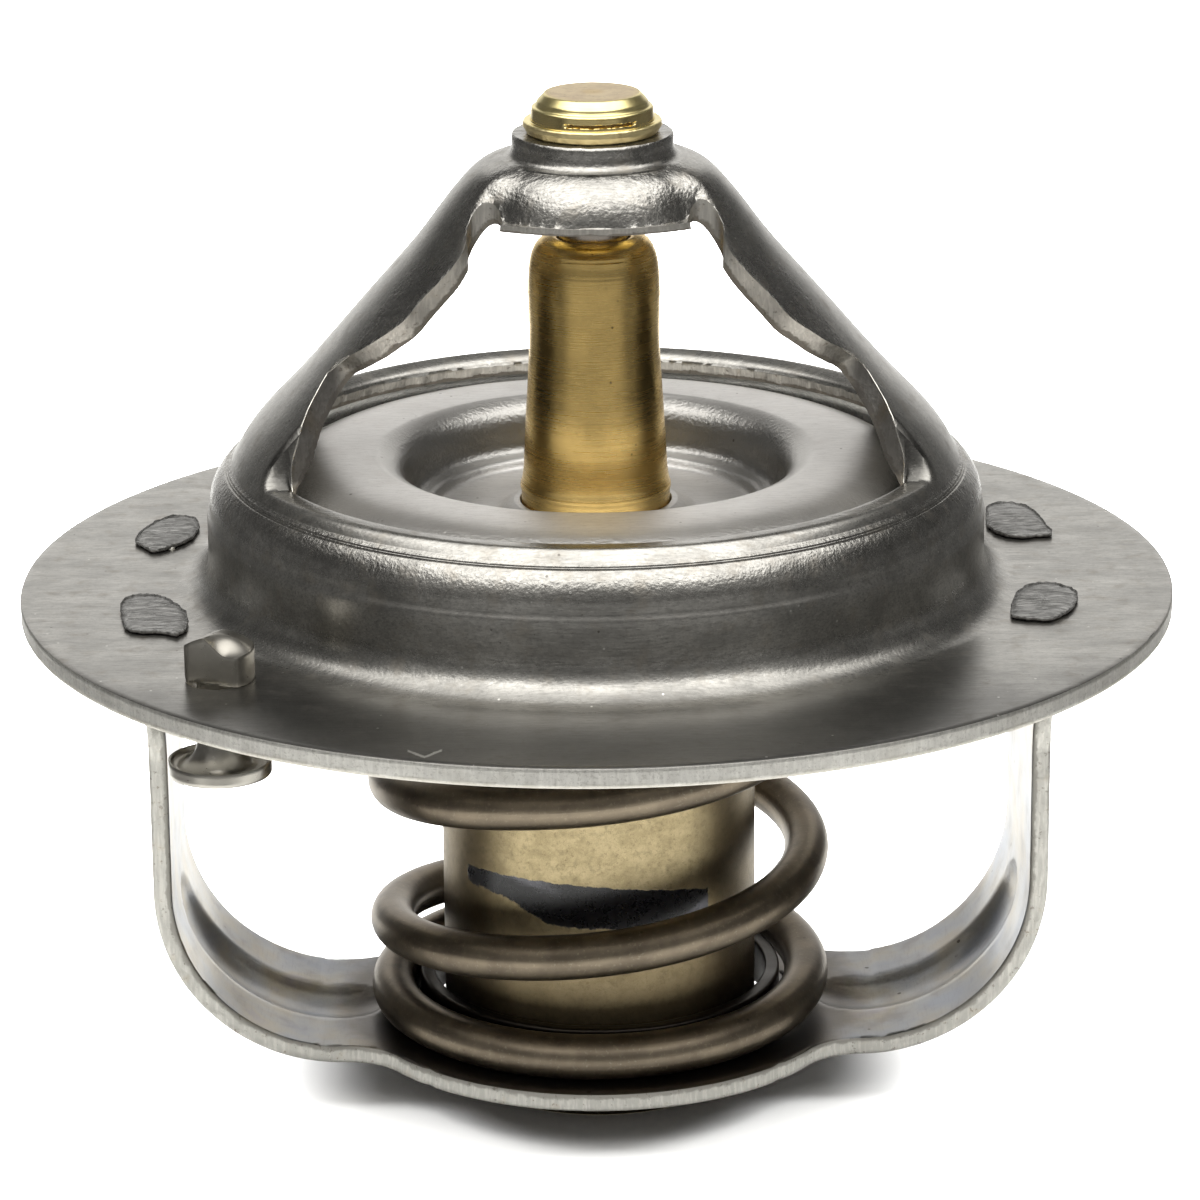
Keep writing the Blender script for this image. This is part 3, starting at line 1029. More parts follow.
def finish_cut(obj, shear_slot):
    """Gives the cut walls their depth through the sheet, then shades the mesh."""
    me = obj.data
    nv = len(me.vertices)
    co = np.zeros(nv * 3)
    me.vertices.foreach_get("co", co)
    co = co.reshape(-1, 3) / MM
    at = me.attributes["shear"]
    val = np.zeros(nv, np.float32)
    wall = set()
    for p in me.polygons:
        if p.material_index == shear_slot:
            wall.update(p.vertices)
    for v in wall:
        x, y, z = co[v]
        r = math.hypot(x, y)
        if r > 18.5:
            val[v] = min(1.0, max(0.0, F - z))
            continue
        dev = arm_angle(math.atan2(y, x))
        zo, zi = z_outer(min(max(r, 4.5), 17.6), dev), z_inner(min(max(r, 3.95), 17.6), dev)
        val[v] = min(1.0, max(0.0, (zo - (z - F)) / max(0.2, zo - zi)))
    at.data.foreach_set("value", val)
    finish_shading(obj, 35)


def circle(cx, cy, r, n):
    return [(cx + r * math.cos(2 * math.pi * i / n), cy + r * math.sin(2 * math.pi * i / n)) for i in range(n)]


VENT = (23.3 * math.cos(math.radians(220.4)), 23.3 * math.sin(math.radians(220.4)))
bridge = build_bridge()
cutters = [prism("cutter", window_outline(s), 4.6, 24.0, 0.25, 0.07, seed, 0.06) for s, seed in ((-1, 3.0), (1, 21.0))]
cutters.append(prism("cutter", circle(VENT[0], VENT[1], 1.45, 60), -1.5, 0.5, 0.2, 0.02, 6.0))
for sx in (1, -1):
    for sy in (1, -1):
        box = [(sx * 21.3 + dx, sy * 6.6 + dy) for dx, dy in ((-0.5, -1.4), (0.5, -1.4), (0.5, 1.4), (-0.5, 1.4))]
        cutters.append(prism("cutter", resample(box, 0.2), -1.5, 0.5, 0.25, 0.02, 30.0 + sx + 2 * sy))
boolean(bridge, join("cutters", cutters))
cutters = [prism("cutter", circle(sx * 5.2, sy * 4.5, 0.85, 48), 16.5, 23.0, 0.15, 0.04, 40.0 + sx + 2 * sy)
           for sx in (1, -1) for sy in (1, -1)]
boolean(bridge, join("cutters", cutters))
finish_cut(bridge, 2)


def tube(name, path, radius, sides, materials, attributes=None, closed=False, caps=True, angle=40, twist=0.0):
    """Round tube along millimetre points; radius may be a list. attributes(i, k) gives named values."""
    p = np.array(path, float)
    n = len(p)
    rad = np.full(n, radius, float) if np.isscalar(radius) else np.array(radius, float)
    t = np.gradient(p, axis=0)
    if closed:
        t = np.roll(p, -1, axis=0) - np.roll(p, 1, axis=0)
    t /= np.linalg.norm(t, axis=1)[:, None]
    up = np.array([0.0, 0.0, 1.0])
    verts, faces, att = [], [], []
    for i in range(n):
        side = np.cross(t[i], up)
        side /= max(1e-9, np.linalg.norm(side))
        nor = np.cross(side, t[i])
        for k in range(sides):
            a = 2 * math.pi * k / sides
            q = p[i] + rad[i] * (math.cos(a) * side + math.sin(a) * nor)
            verts.append(tuple(q))
            if attributes:
                att.append(attributes(i, k))
    rings = n if closed else n - 1
    for i in range(rings):
        j = (i + 1) % n
        for k in range(sides):
            l = (k + 1) % sides
            faces.append((i * sides + k, i * sides + l, j * sides + l, j * sides + k))
    if caps and not closed:
        faces.append(tuple(range(sides))[::-1])
        faces.append(tuple((n - 1) * sides + k for k in range(sides)))
    named = {}
    if att:
        for key in att[0]:
            named[key] = [row[key] for row in att]
    obj = make_obj(name, verts, faces, materials, None, angle, named)
    fix_normals(obj)
    return obj


def build_burrs():
    """Thin turned-up edge along the foot of each window and a broken one on the collar."""
    out = []
    for s in (-1, 1):
        loop = window_outline(s)
        for side in (-1, 1):
            pts = [p for p in loop if side * p[0] > 11.6 and abs(p[1]) < 6.94 and math.hypot(*p) < 15.97]
            pts.sort(key=lambda p: abs(p[1]) + 0.6 * abs(p[0]))
            path, rad = [], []
            for x, y in pts:
                r, dev = math.hypot(x, y), arm_angle(math.atan2(y, x))
                path.append((x, y - s * 0.03, z_outer(r, dev) + 0.005))
                g = 0.5 + 0.5 * fbm(x * 2.2, y * 2.2, 1.0, 3, 5.0)
                rad.append(0.018 + 0.042 * g * g)
            if len(path) > 6:
                out.append(tube("burr", path, rad, 7, [M_BURR]))
    return out


M_BURR = polished_material("bright_burr", (0.80, 0.78, 0.72), 0.22)
burrs = build_burrs()


# ------------------------------------------------------------------ plug, piston, guide
def ring_noise(a, k, z, octaves=3, seed=0.0):
    return fbm(k * math.cos(a), k * math.sin(a), z, octaves, seed)


def plug_shift(r, z, a, j):
    dr = dz = 0.0
    if r < 1.8 and z < 23.0:
        return 0.0, 0.0
    front = math.degrees(math.atan2(math.sin(a + math.pi / 2), math.cos(a + math.pi / 2))) - 11.0
    if 22.78 < z < 23.1 and r > 2.5:
        mask = float(smooth(37, 32, abs(front + 3 + 3 * ring_noise(a, 6, 0, 2, 3.0))))
        centre = 22.93 + 0.035 * ring_noise(a, 9.0, 0.0, 3, 1.0)
        half = 0.055 + 0.04 * ring_noise(a, 11.0, 0.4, 3, 2.0)
        depth = float(smooth(half + 0.035, half - 0.03, abs(z - centre)))
        dr -= 0.13 * depth * mask
    if 22.45 < z < 22.74 and r > 3.1:
        mask = float(smooth(50, 25, abs(front + 3)))
        dr -= 0.03 * mask * (1 + ring_noise(a, 14, z, 2, 8.0))
        dz += 0.035 * mask * (0.5 + ring_noise(a, 12, 0.0, 3, 9.0))
    if 22.4 < z < 23.0 and r > 3.2:
        dr += 0.025 * ring_noise(a, 7.0, z * 2, 3, 6.0) - 0.02
    if z >= 24.0 and r > 2.0:
        dz += 0.012 * ring_noise(a, 8.0, 0.0, 3, 4.0) - 0.012
        dr += 0.02 * ring_noise(a, 6.0, 0.0, 3, 5.0)
    if 22.1 < z < 22.4:
        dr += 0.02 * ring_noise(a, 6.0, z * 3, 3, 12.0) - 0.015
    return dr, dz


def build_plug():
    prof = chain(
        [(0, 24.02), (0.7, 24.02), (1.3, 24.02), (1.8, 24.02), (2.1, 24.02), (2.24, 24.015), (2.3, 23.99)],
        line((2.3, 23.99), (2.63, 23.64), 6), [(2.66, 23.58)],
        line((2.66, 23.56), (2.72, 23.44), 3), [(2.76, 23.40)],
        arc3((2.76, 23.40), (2.87, 23.345), (2.91, 23.26), 4),
        line((2.91, 23.26), (2.95, 22.76), 22),
        [(2.97, 22.72), (3.05, 22.70), (3.14, 22.72), (3.22, 22.72), (3.3, 22.68), (3.335, 22.62)],
        line((3.335, 22.62), (3.34, 22.46), 4), [(3.31, 22.42)],
        line((3.30, 22.42), (3.18, 22.2), 3), line((3.16, 22.16), (3.02, 22.12), 2),
        [(3.02, 21.0), (3.02, 20.0), (3.39, 19.76), (3.39, 19.4), (3.35, 19.36), (2.4, 19.36), (1.75, 19.36), (1.70, 19.42), (1.70, 21.0), (1.70, 22.6), (0, 22.6)])
    slots = []
    for (r0, z0), (r1, z1) in zip(prof, prof[1:] + prof[:1]):
        zm, rm = (z0 + z1) / 2, (r0 + r1) / 2
        if zm > 24.0 and rm < 2.27:
            slots.append(1)
        elif 22.14 < zm < 22.70 and rm > 3.1:
            slots.append(2)
        elif 22.70 < zm < 23.3 and 2.8 < rm < 3.0:
            slots.append(3)
        else:
            slots.append(0)
    return lathe("plug", prof, 360, [M_PLUG, M_PLUG_TOP, M_PLUG_LOW, M_PLUG_CRACK], slots, 38, plug_shift)


def crack_material():
    """Plug's second bevel: bright brass that turns brown inside the crack."""
    n = Nodes("plug_bevel_brass")
    r = n.radius()
    fine = n.noise(1.0, 2, 0.6, n.stretch((0.5, 1.0, 20.0), n.around(2.9)))
    deep = n.rng(r, 2.88, 2.78)
    col = n.mix(n.rng(n.noise(1.2, 3), 0.4, 0.7), (0.86, 0.71, 0.34), (0.76, 0.58, 0.24))
    col = n.mix(deep, col, (0.20, 0.11, 0.04))
    n.set(Base_Color=col, Metallic=1.0, Roughness=n.rng(deep, 0.0, 1.0, 0.2, 0.6), Normal=n.bump(fine, 3e-6))
    return n.mat


M_PLUG_CRACK = crack_material()
plug = build_plug()

piston = lathe("piston_rod", chain(
    [(0, 22.58), (1.35, 22.58)], arc3((1.35, 22.58), (1.56, 22.49), (1.65, 22.28), 4), line((1.65, 22.28), (1.65, -11.0), 24),
    [(1.25, -14.6), (0.95, -16.6), (0.8, -16.95), (0, -17.0)]), 96, [M_ROD], None, 40)


def guide_shift(r, z, a, j):
    if r < 1.9 and z < 16.9:
        return 0.0, 0.0
    dr = 0.0
    if 5.5 < z < 16.5 and r > 2.9:
        dr += 0.006 * noise.noise(Vector((z * 9.0, 3.0, 0))) + 0.010 * ring_noise(a, 0.9, z * 0.6, 3, 2.0) - 0.008
    if z > 16.3:
        dr += 0.02 * ring_noise(a, 2.5, z, 3, 7.0) - 0.01
    return dr, 0.0


outer = spline([(2.15, 17.05), (2.5, 16.93), (2.82, 16.6), (3.04, 16.05), (3.14, 15.4), (3.15, 12.4), (3.31, 8.9), (3.49, 5.6)], 16)
guide = lathe("guide_tube", chain(
    arc3((1.72, 16.72), (1.78, 16.98), (2.15, 17.05), 6), outer,
    [(3.52, 5.3), (3.56, 5.05), (3.61, 4.88), (3.64, 4.8), (3.655, 4.7), (3.65, 4.6), (3.63, 4.52), (3.6, 4.45)],
    line((3.6, 4.4), (3.6, 1.25), 4), [(6.0, 1.0), (7.0, 0.6), (7.0, -0.4), (3.05, -0.4), (3.05, 0.9), (1.72, 0.9), (1.72, 15.3),
                                       (2.45, 15.3), (2.45, 16.5), (2.3, 16.62), (1.72, 16.62)]),
    300, [M_GUIDE], None, 38, guide_shift)


# ------------------------------------------------------------------ valve plate
crown_land = spline([(11.2, 6.40), (12.6, 6.40), (13.4, 6.33), (14.3, 6.10), (15.2, 5.64), (16.0, 4.96), (16.7, 4.08), (17.15, 3.25), (17.4, 2.66)], 6)
under_land = spline([(16.5, 2.56), (16.3, 3.15), (15.9, 3.86), (15.35, 4.5), (14.65, 5.0), (13.85, 5.32), (13.1, 5.47), (12.2, 5.50), (11.1, 5.42)], 4)
dish = spline([(3.95, 3.95), (4.3, 3.75), (4.8, 3.45), (5.4, 3.38), (7.3, 3.38), (7.75, 3.5),
               (8.05, 3.8), (8.6, 4.0), (8.9, 4.32), (9.1, 4.95), (9.65, 5.88), (10.6, 6.38)], 7)
below = spline([(10.75, 5.1), (10.1, 4.65), (9.78, 3.9), (9.35, 3.3), (8.5, 3.02), (8.0, 2.62),
                (7.4, 2.45), (6.2, 2.4), (5.0, 2.35), (4.3, 2.35)], 5)
valve_profile = chain(
    line((3.67, 2.35), (3.67, 3.9), 4), [(3.70, 3.95), (3.95, 3.95)], dish,
    line((10.6, 6.38), (11.0, 6.40), 3), crown_land, [(17.40, 2.55), (17.33, 2.5)], line((17.33, 2.5), (16.6, 2.5), 3),
    under_land, below, [(3.8, 2.35)])


def valve_shift(r, z, a, j):
    x, y = r * math.cos(a), r * math.sin(a)
    dz = 0.0
    if r > 9.0 and r < 16.9:
        dz = 0.014 * fbm(x * 0.25, y * 0.25, 0.0, 2, 3.0)
    if 7.6 < r < 9.8:
        dz += 0.02 * fbm(x * 0.7, y * 0.7, 0.0, 2, 6.0)
    return 0.0, dz


def valve_peel(r, z, a, j):
    x, y = r * math.cos(a), r * math.sin(a)
    p = float(smooth(7.5, 8.4, r)) * float(smooth(10.9, 10.1, r)) + float(smooth(12.9, 14.6, r)) * 0.8
    return {"peel": max(0.0, min(1.0, p + 0.15 * fbm(x * 0.6, y * 0.6, 0, 2, 1.0)))}


valve = lathe("valve_plate", valve_profile, 420, [M_VALVE], None, 35, valve_shift, attrs=valve_peel)


# ------------------------------------------------------------------ wax cup
def cup_shift(r, z, a, j):
    if r < 6.9:
        return 0.0, 0.0
    return 0.02 * ring_noise(a, 1.8, z * 0.35, 3, 4.0) - 0.02, 0.0


cup = lathe("wax_cup", chain(
    [(0, -25.6), (3.0, -25.6), (5.5, -25.6), (6.65, -25.6)], arc3((6.65, -25.6), (7.43, -25.28), (7.75, -24.5), 8),
    line((7.75, -24.5), (7.75, 0.6), 70), arc3((7.75, 0.6), (7.45, 1.25), (6.75, 1.5), 6),
    [(6.1, 1.5), (6.1, 1.02), (7.03, 0.66), (7.03, -1.6), (6.7, -1.6), (6.7, -24.0), (6.1, -24.6), (0, -24.6)]),
    300, [M_CUP], None, 35, cup_shift)

# ------------------------------------------------------------------ spring
WIRE = 1.1
seat_z = -23.1 + 0.9 + 0.01 + WIRE
top_z = 6.0 - 0.9 - 0.03 - WIRE
ease, leave, pitch = 0.64, 0.2, 7.3
arrive = leave + ease + (top_z - seat_z) / pitch


def wire_centre(turn):
    if turn <= leave:
        z = seat_z
    elif turn <= leave + ease:
        z = seat_z + pitch / (2 * ease) * (turn - leave) ** 2
    elif turn <= arrive - ease:
        z = seat_z + pitch * (turn - leave - ease / 2)
    elif turn <= arrive:
        z = top_z - pitch / (2 * ease) * (arrive - turn) ** 2
    else:
        z = top_z
    z += 0.40 * float(smooth(2.0, 2.22, turn)) * float(smooth(2.8, 2.4, turn))
    share = min(1.0, max(0.0, (turn - 2.2) / 1.7))
    radius = 10.3 + 1.7 * share * share * (3 - 2 * share)
    angle = math.pi + 2 * math.pi * turn
    return radius * math.cos(angle), radius * math.sin(angle), z


def build_spring():
    count, sides = 1150, 34
    turns = [-0.16 + 4.8 * i / (count - 1) for i in range(count)]
    path = [wire_centre(t) for t in turns]
    rad = []
    for i, (x, y, z) in enumerate(path):
        end = min(i, count - 1 - i) / 6.0
        r = WIRE - 0.012 + 0.010 * fbm(x * 0.35, y * 0.35, z * 0.35, 2, 2.0)
        rad.append(r - 0.10 * max(0.0, 1 - end) ** 2)
    return tube("coil_spring", path, rad, sides, [M_SPRING],
                lambda i, k: {"along": i * 0.27, "turnpos": 1.1 * math.sin(2 * math.pi * k / sides)})


spring = build_spring()

# ------------------------------------------------------------------ stirrup
STRAP = 0.9
LEG_X, BEND_R, LOW = 21.75, 9.0, -23.1
BX, BZ = LEG_X - BEND_R, LOW + BEND_R
leg_curve = spline([(-7.2, 5.85), (-6.6, 5.95), (-5.9, 6.2), (-5.2, 6.75), (-4.2, 7.8), (-3.5, 8.7), (-3.0, 9.0)], 8)


def strap_half(x, z):
    """Half width of the strap at a point of its outer face."""
    if z > -7.2:
        return float(np.interp(z, leg_curve[:, 0], leg_curve[:, 1])) if z < -3.0 else 9.0
    ax = abs(x)
    if z < LOW + 0.5 and ax < 12.65:
        if ax < 10.04:
            return math.sqrt(12.35 ** 2 - ax ** 2)
        return max(5.85, 9.05 - math.sqrt(max(0.0, 3.2 ** 2 - (ax - 12.645) ** 2)))
    return 5.85


def strap_path():
    """Rows of the strap: (x, z, nx, nz, arc angle of the bend or None, side)."""
    rows = []
    leg = np.concatenate([np.linspace(-1.0, -3.0, 9), np.linspace(-3.2, -7.2, 22), np.linspace(-7.5, BZ, 22)])
    for z in leg:
        rows.append((LEG_X, z, 1.0, 0.0))
    for a in np.linspace(90, 0, 60)[1:]:
        t = math.radians(a)
        rows.append((BX + BEND_R * math.sin(t), BZ - BEND_R * math.cos(t), math.sin(t), -math.cos(t)))
    strap = np.concatenate([np.linspace(BX - 0.12, 9.4, 34), np.linspace(9.1, 0.0, 30)])
    for x in strap:
        rows.append((x, LOW, 0.0, -1.0))
    left = [(-x, z, -nx, nz) for x, z, nx, nz in rows[:-1]]
    return rows + left[::-1]


def bead_height(x, y, z):
    """How far the stiffening bead stands out at a point of the strap."""
    ax = abs(x)
    if ax < 8 or z > -3:
        return 0.0
    if ax <= BX:
        s = -(BX - ax)
    else:
        a = math.degrees(math.atan2(ax - BX, BZ - z)) if z < BZ + 1e-6 else 90 + math.degrees((z - BZ) / BEND_R)
        s = math.radians(a) * BEND_R
    top = math.radians(68) * BEND_R
    along = max(0.0, -s, s - top)
    d = math.hypot(along, y) / 2.15
    if d >= 1:
        return 0.0
    return 0.50 * (1 - d * d) ** 0.85 * float(smooth(1.0, 0.86, d))


def build_stirrup():
    rows = strap_path()
    nt, ne = 40, 6
    verts, shear, faces, idx = [], [], [], []
    ring = None
    for i, (x, z, nx, nz) in enumerate(rows):
        w = strap_half(x, z)
        loop = []
        for side in (0, 1):
            for k in range(nt + 1):
                v = -1 + 2 * k / nt
                v = v if side == 0 else -v
                v = math.copysign(1 - (1 - abs(v)) ** 1.15, v)
                loop.append((v, side, None))
            for k in range(1, ne):
                loop.append((1.0 if side == 0 else -1.0, side, k / ne))
        if ring is None:
            ring = len(loop)
        for v, side, e in loop:
            wob = 0.035 * fbm(x * 0.5, v * 7, z * 0.5, 3, 3.0)
            if e is None:
                depth = float(side)
                edge = 0.05 * float(smooth(0.985, 1.0, abs(v)))
            else:
                depth = e if side == 0 else 1 - e
                edge = 0.0
            rnd = 0.07 * (abs(2 * depth - 1) ** 6) if e is not None or abs(v) > 0.999 else 0.0
            torn = 0.05 * float(smooth(0.25, 0.45, depth + 0.4 * fbm(x, z, v, 2, 8.0))) if abs(v) > 0.999 else 0.0
            rough = 0.016 * fbm(x * 3.0, depth * 1.2, z * 3.0, 3, 5.0) if abs(v) > 0.999 else 0.0
            nick = 0.0
            if z < LOW + 0.3 and abs(v) > 0.999:
                nick = 0.16 * math.exp(-((abs(x) - 8.45) / 0.13) ** 2) + 0.07 * math.exp(-((abs(x) - 8.9) / 0.1) ** 2)
            y = v * (w - rnd - torn - nick) + (wob + rough) * (1 if abs(v) > 0.5 else 0) * math.copysign(1, v) - 0.0
            y = max(-12.35, min(12.35, y))
            h = bead_height(x, y, z)
            wave = 0.025 * fbm(x * 0.18, y * 0.18, z * 0.18, 2, 12.0)
            if z > -1.6 or abs(nz) > 0.99:
                wave = 0.0
            off = h + wave - 0.0 - depth * STRAP
            if depth == 0.0 and abs(v) > 0.985:
                off -= edge
            if depth == 1.0 and abs(v) > 0.985:
                off += edge
            px = x + nx * off
            pz = z + nz * off
            if abs(nz) > 0.99:
                pz = min(pz, LOW + STRAP)
            verts.append((px, y, pz))
            shear.append(depth if abs(v) > 0.999 else (0.0 if side == 0 else 1.0))
    for i in range(len(rows) - 1):
        for k in range(ring):
            l = (k + 1) % ring
            faces.append((i * ring + k, i * ring + l, (i + 1) * ring + l, (i + 1) * ring + k))
            mid = k in range(nt, nt + ne) or k in range(2 * nt + ne + 1 - 1, 2 * nt + 2 * ne + 2)
            idx.append(1 if mid else 0)
    faces.append(tuple(range(ring))[::-1])
    idx.append(1)
    last = (len(rows) - 1) * ring
    faces.append(tuple(last + k for k in range(ring)))
    idx.append(1)
    obj = make_obj("strap", verts, faces, [M_STRAP, M_STRAP_EDGE, M_TAB], idx, 35, {"shear": shear})
    fix_normals(obj)
    cut = prism("hole", circle(0, 0, 9.6, 300), LOW - 1.0, LOW + 3, 0.5, 0.0, 1.0)
    boolean(obj, cut)
    # collar drawn up round the cup, with its entry radius
    collar = lathe("collar", chain(
        [(9.595, LOW), (9.3, LOW)], arc3((9.3, LOW), (8.56, LOW + 0.31), (8.25, LOW + 1.05), 10), line((8.25, LOW + 1.05), (8.25, -20.32), 8),
        arc3((8.25, -20.32), (8.29, -20.23), (8.38, -20.2), 3), line((8.38, -20.2), (8.82, -20.2), 3),
        arc3((8.82, -20.2), (8.91, -20.24), (8.95, -20.33), 3), line((8.95, -20.33), (8.95, -21.55), 5),
        arc3((8.95, -21.55), (9.14, -22.01), (9.595, LOW + STRAP), 7)),
        360, [M_STRAP, M_STRAP_EDGE], None, 40,
        lambda r, z, a, j: (0.0, 0.06 * ring_noise(a, 3.0, 0, 3, 2.0) - 0.06) if z > -20.4 else (0.0, 0.0),
        attrs=lambda r, z, a, j: {"shear": 0.2})
    stems = []
    for sx in (1, -1):
        for sy in (1, -1):
            bx = [(sx * 21.3 + dx, sy * 6.6 + dy) for dx, dy in ((-0.44, -1.36), (0.44, -1.36), (0.44, 1.36), (-0.44, 1.36))]
            stem = prism("stem", resample(bx, 0.25), -1.3, 0.1, 0.3, 0.01, 3.0)
            stem.data.materials.clear()
            stem.data.materials.append(M_STRAP_EDGE)
            stems.append(stem)
    return join("stirrup_strap", [obj, collar] + stems)


strap = build_stirrup()


TABS = [  # plan outlines of the four hammered tab ends
    [(-22.91, 6.46), (-22.79, 7.51), (-22.53, 8.36), (-22.1, 9.53), (-21.52, 10.28), (-20.78, 10.6), (-20.11, 10.19), (-19.85, 9.21),
     (-19.8, 8.43), (-19.98, 6.95), (-20.39, 5.99), (-20.97, 5.3), (-21.55, 4.62), (-21.98, 4.52), (-22.26, 5.07), (-22.54, 5.51), (-22.82, 6.03)],
    [(-22.93, -4.32), (-22.83, -3.15), (-22.32, -2.58), (-21.6, -2.54), (-20.85, -3.05), (-20.18, -4.26), (-19.7, -5.45), (-19.54, -6.81),
     (-19.55, -8.14), (-19.92, -8.95), (-20.53, -8.47), (-21.01, -8.37), (-21.59, -8.42), (-22.08, -8.21), (-22.47, -7.62), (-22.72, -6.08)],
    [(19.72, 7.11), (19.84, 8.6), (20.0, 9.9), (20.35, 10.5), (21.06, 10.85), (21.65, 10.49), (22.21, 9.8), (22.48, 8.69), (22.66, 7.38),
     (22.76, 6.3), (22.91, 5.87), (22.83, 5.1), (22.21, 4.96), (21.32, 4.76), (20.59, 5.0), (20.05, 5.8), (19.8, 6.6)],
    [(19.5, -7.45), (19.66, -6.2), (20.1, -4.26), (20.62, -3.3), (21.4, -2.74), (22.11, -2.89), (22.76, -3.6), (23.03, -4.41), (22.92, -5.58),
     (22.51, -6.92), (21.79, -8.05), (21.14, -8.59), (20.33, -8.36), (19.76, -8.14), (19.5, -7.9)],
]


def build_tabs():
    """Hammered, shaly ends that hold the stirrup's tabs on the flange."""
    objs = []
    for n_tab, corners in enumerate(TABS):
        seed = 10.0 * n_tab + 3.0
        loop = resample(corners, 0.07)
        for _ in range(4):
            loop = (np.roll(loop, 1, 0) + 2 * loop + np.roll(loop, -1, 0)) / 4
        mid = loop.mean(axis=0)
        seg = len(loop)
        rings = 40
        edge = [(0.978, None), (0.992, 0.225), (1.0, 0.19), (1.0, 0.12), (0.985, 0.06), (0.95, 0.015), (0.90, 0.002)]
        verts, faces = [], []
        for i in range(rings + len(edge)):
            for k in range(seg):
                dx, dy = loop[k] - mid
                wob = 1 + 0.050 * fbm(dx * 2.2, dy * 2.2, 0, 3, seed) + 0.022 * fbm(dx * 8, dy * 8, 0, 2, seed + 2)
                if i < rings:
                    rho, z = (i / (rings - 1)) ** 0.8 * 0.97, None
                else:
                    rho, z = edge[i - rings]
                x0, y0 = dx * wob * rho, dy * wob * rho
                if z is None:
                    warp = 0.5 * fbm(x0 * 0.7, y0 * 0.7, 0, 2, seed + 7)
                    fib = fbm(x0 * 0.5, y0 * 3.0 + warp, 0, 3, seed + 4)
                    flake = abs(fbm(x0 * 0.9, y0 * 6.5 + warp * 2, 0, 2, seed + 5))
                    z = 0.215 * (1 - rho ** 9) + 0.03 + 0.12 * fib - 0.10 * flake + 0.03 * (1 - rho)
                    z = max(0.10, min(0.3, z))
                    if i >= rings - 1:
                        z = min(z, 0.24)
                else:
                    z = z * (1 + 0.35 * fbm(dx * 2.5, dy * 2.5, 0, 2, seed + 9)) if z > 0.01 else z
                verts.append((mid[0] + x0, mid[1] + y0, min(0.3, z)))
        rows = rings + len(edge)
        for i in range(rows - 1):
            for k in range(seg):
                l = (k + 1) % seg
                faces.append((i * seg + k, (i + 1) * seg + k, (i + 1) * seg + l, i * seg + l))
        faces.append(tuple((rows - 1) * seg + k for k in range(seg)))
        o = make_obj("tab", verts, faces, [M_TAB], None, 60)
        bm = bmesh.new()
        bm.from_mesh(o.data)
        bmesh.ops.remove_doubles(bm, verts=bm.verts, dist=1e-7)
        bmesh.ops.recalc_face_normals(bm, faces=bm.faces)
        bm.to_mesh(o.data)
        bm.free()
        finish_shading(o, 60)
        objs.append(o)
    return join("staked_tabs", objs)


tabs = build_tabs()


# ------------------------------------------------------------------ vent pin
def build_vent():
    """Pinched head with a skewed ridge over its front flat, stem and flared foot."""
    flat = math.radians(248.0)
    nx, ny = math.cos(flat), math.sin(flat)          # front flat faces this way
    tx, ty = -ny, nx                                 # to the right along the flat
    radius, half = 1.62, 1.02

    def top(u, v):
        """Height over a point u along the flat and v behind it."""
        d = u + 0.30
        v = max(0.0, v)
        if d > 0:
            q = float(smooth(-0.35, 1.35, v))
            fall = 0.90 * float(smooth(-0.25, 1.10, d)) * (1 - q) + 0.17 * d * d * q
        else:
            fall = 0.44 * (-d) ** 1.25 + 0.03
        return max(1.08, 2.27 - 0.10 * v - fall)

    seg, rings, steps = 180, 22, 12
    verts, faces = [], []
    rim = []
    for k in range(seg):
        a = 2 * math.pi * k / seg
        c = abs(math.cos(a - flat))
        rr = (radius ** -26 + (half / max(c, 1e-6)) ** -26) ** (-1 / 26)
        rim.append((rr * math.cos(a), rr * math.sin(a)))
    for i in range(rings + steps + 1):
        for x, y in rim:
            if i < rings:
                f = i / (rings - 1) * 0.985
                z = top(x * f * tx + y * f * ty, half - (x * f * nx + y * f * ny))
            else:
                q = (i - rings) / steps
                f = 1.0
                edge = top(x * tx + y * ty, half - (x * nx + y * ny)) - 0.05
                z = edge + (0.02 - edge) * q
                f = 1.0 - 0.03 * max(0.0, q - 0.9) * 10
            verts.append((VENT[0] + 0.12 + x * f, VENT[1] + 0.14 + y * f, z))
    for i in range(rings + steps):
        for k in range(seg):
            l = (k + 1) % seg
            faces.append((i * seg + k, (i + 1) * seg + k, (i + 1) * seg + l, i * seg + l))
    faces.append(tuple((rings + steps) * seg + k for k in range(seg)))
    o = make_obj("head", verts, faces, [M_NICKEL], None, 50)
    bm = bmesh.new()
    bm.from_mesh(o.data)
    bmesh.ops.remove_doubles(bm, verts=bm.verts, dist=1e-7)
    bmesh.ops.recalc_face_normals(bm, faces=bm.faces)
    bm.to_mesh(o.data)
    bm.free()
    finish_shading(o, 40)
    flare = spline([(0.95, -1.5), (1.0, -2.6), (1.17, -3.45), (1.48, -3.86), (1.85, -4.04), (2.08, -4.05), (2.2, -3.97), (2.28, -3.84)], 6)
    stem = lathe("stem", chain(
        [(0, 0.1), (0.95, 0.1)], line((0.95, 0.1), (0.95, -1.5), 4), flare, [(2.33, -3.805), (2.38, -3.82), (2.4, -3.88)],
        line((2.4, -3.88), (2.4, -4.42), 4), [(2.37, -4.48), (2.3, -4.5), (1.5, -4.5), (0, -4.5)]), 140, [M_NICKEL], None, 50, centre=VENT)
    return join("vent_pin", [o, stem])


vent = build_vent()

# ------------------------------------------------------------------ finish of the inner CAD parts
for node, mat in (("wiper_seal", M_RUBBER), ("backup_washer", M_RING), ("rubber_boot", M_RUBBER), ("wax_charge", M_WAX)):
    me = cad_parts[node].data
    me.materials.clear()
    me.materials.append(mat)

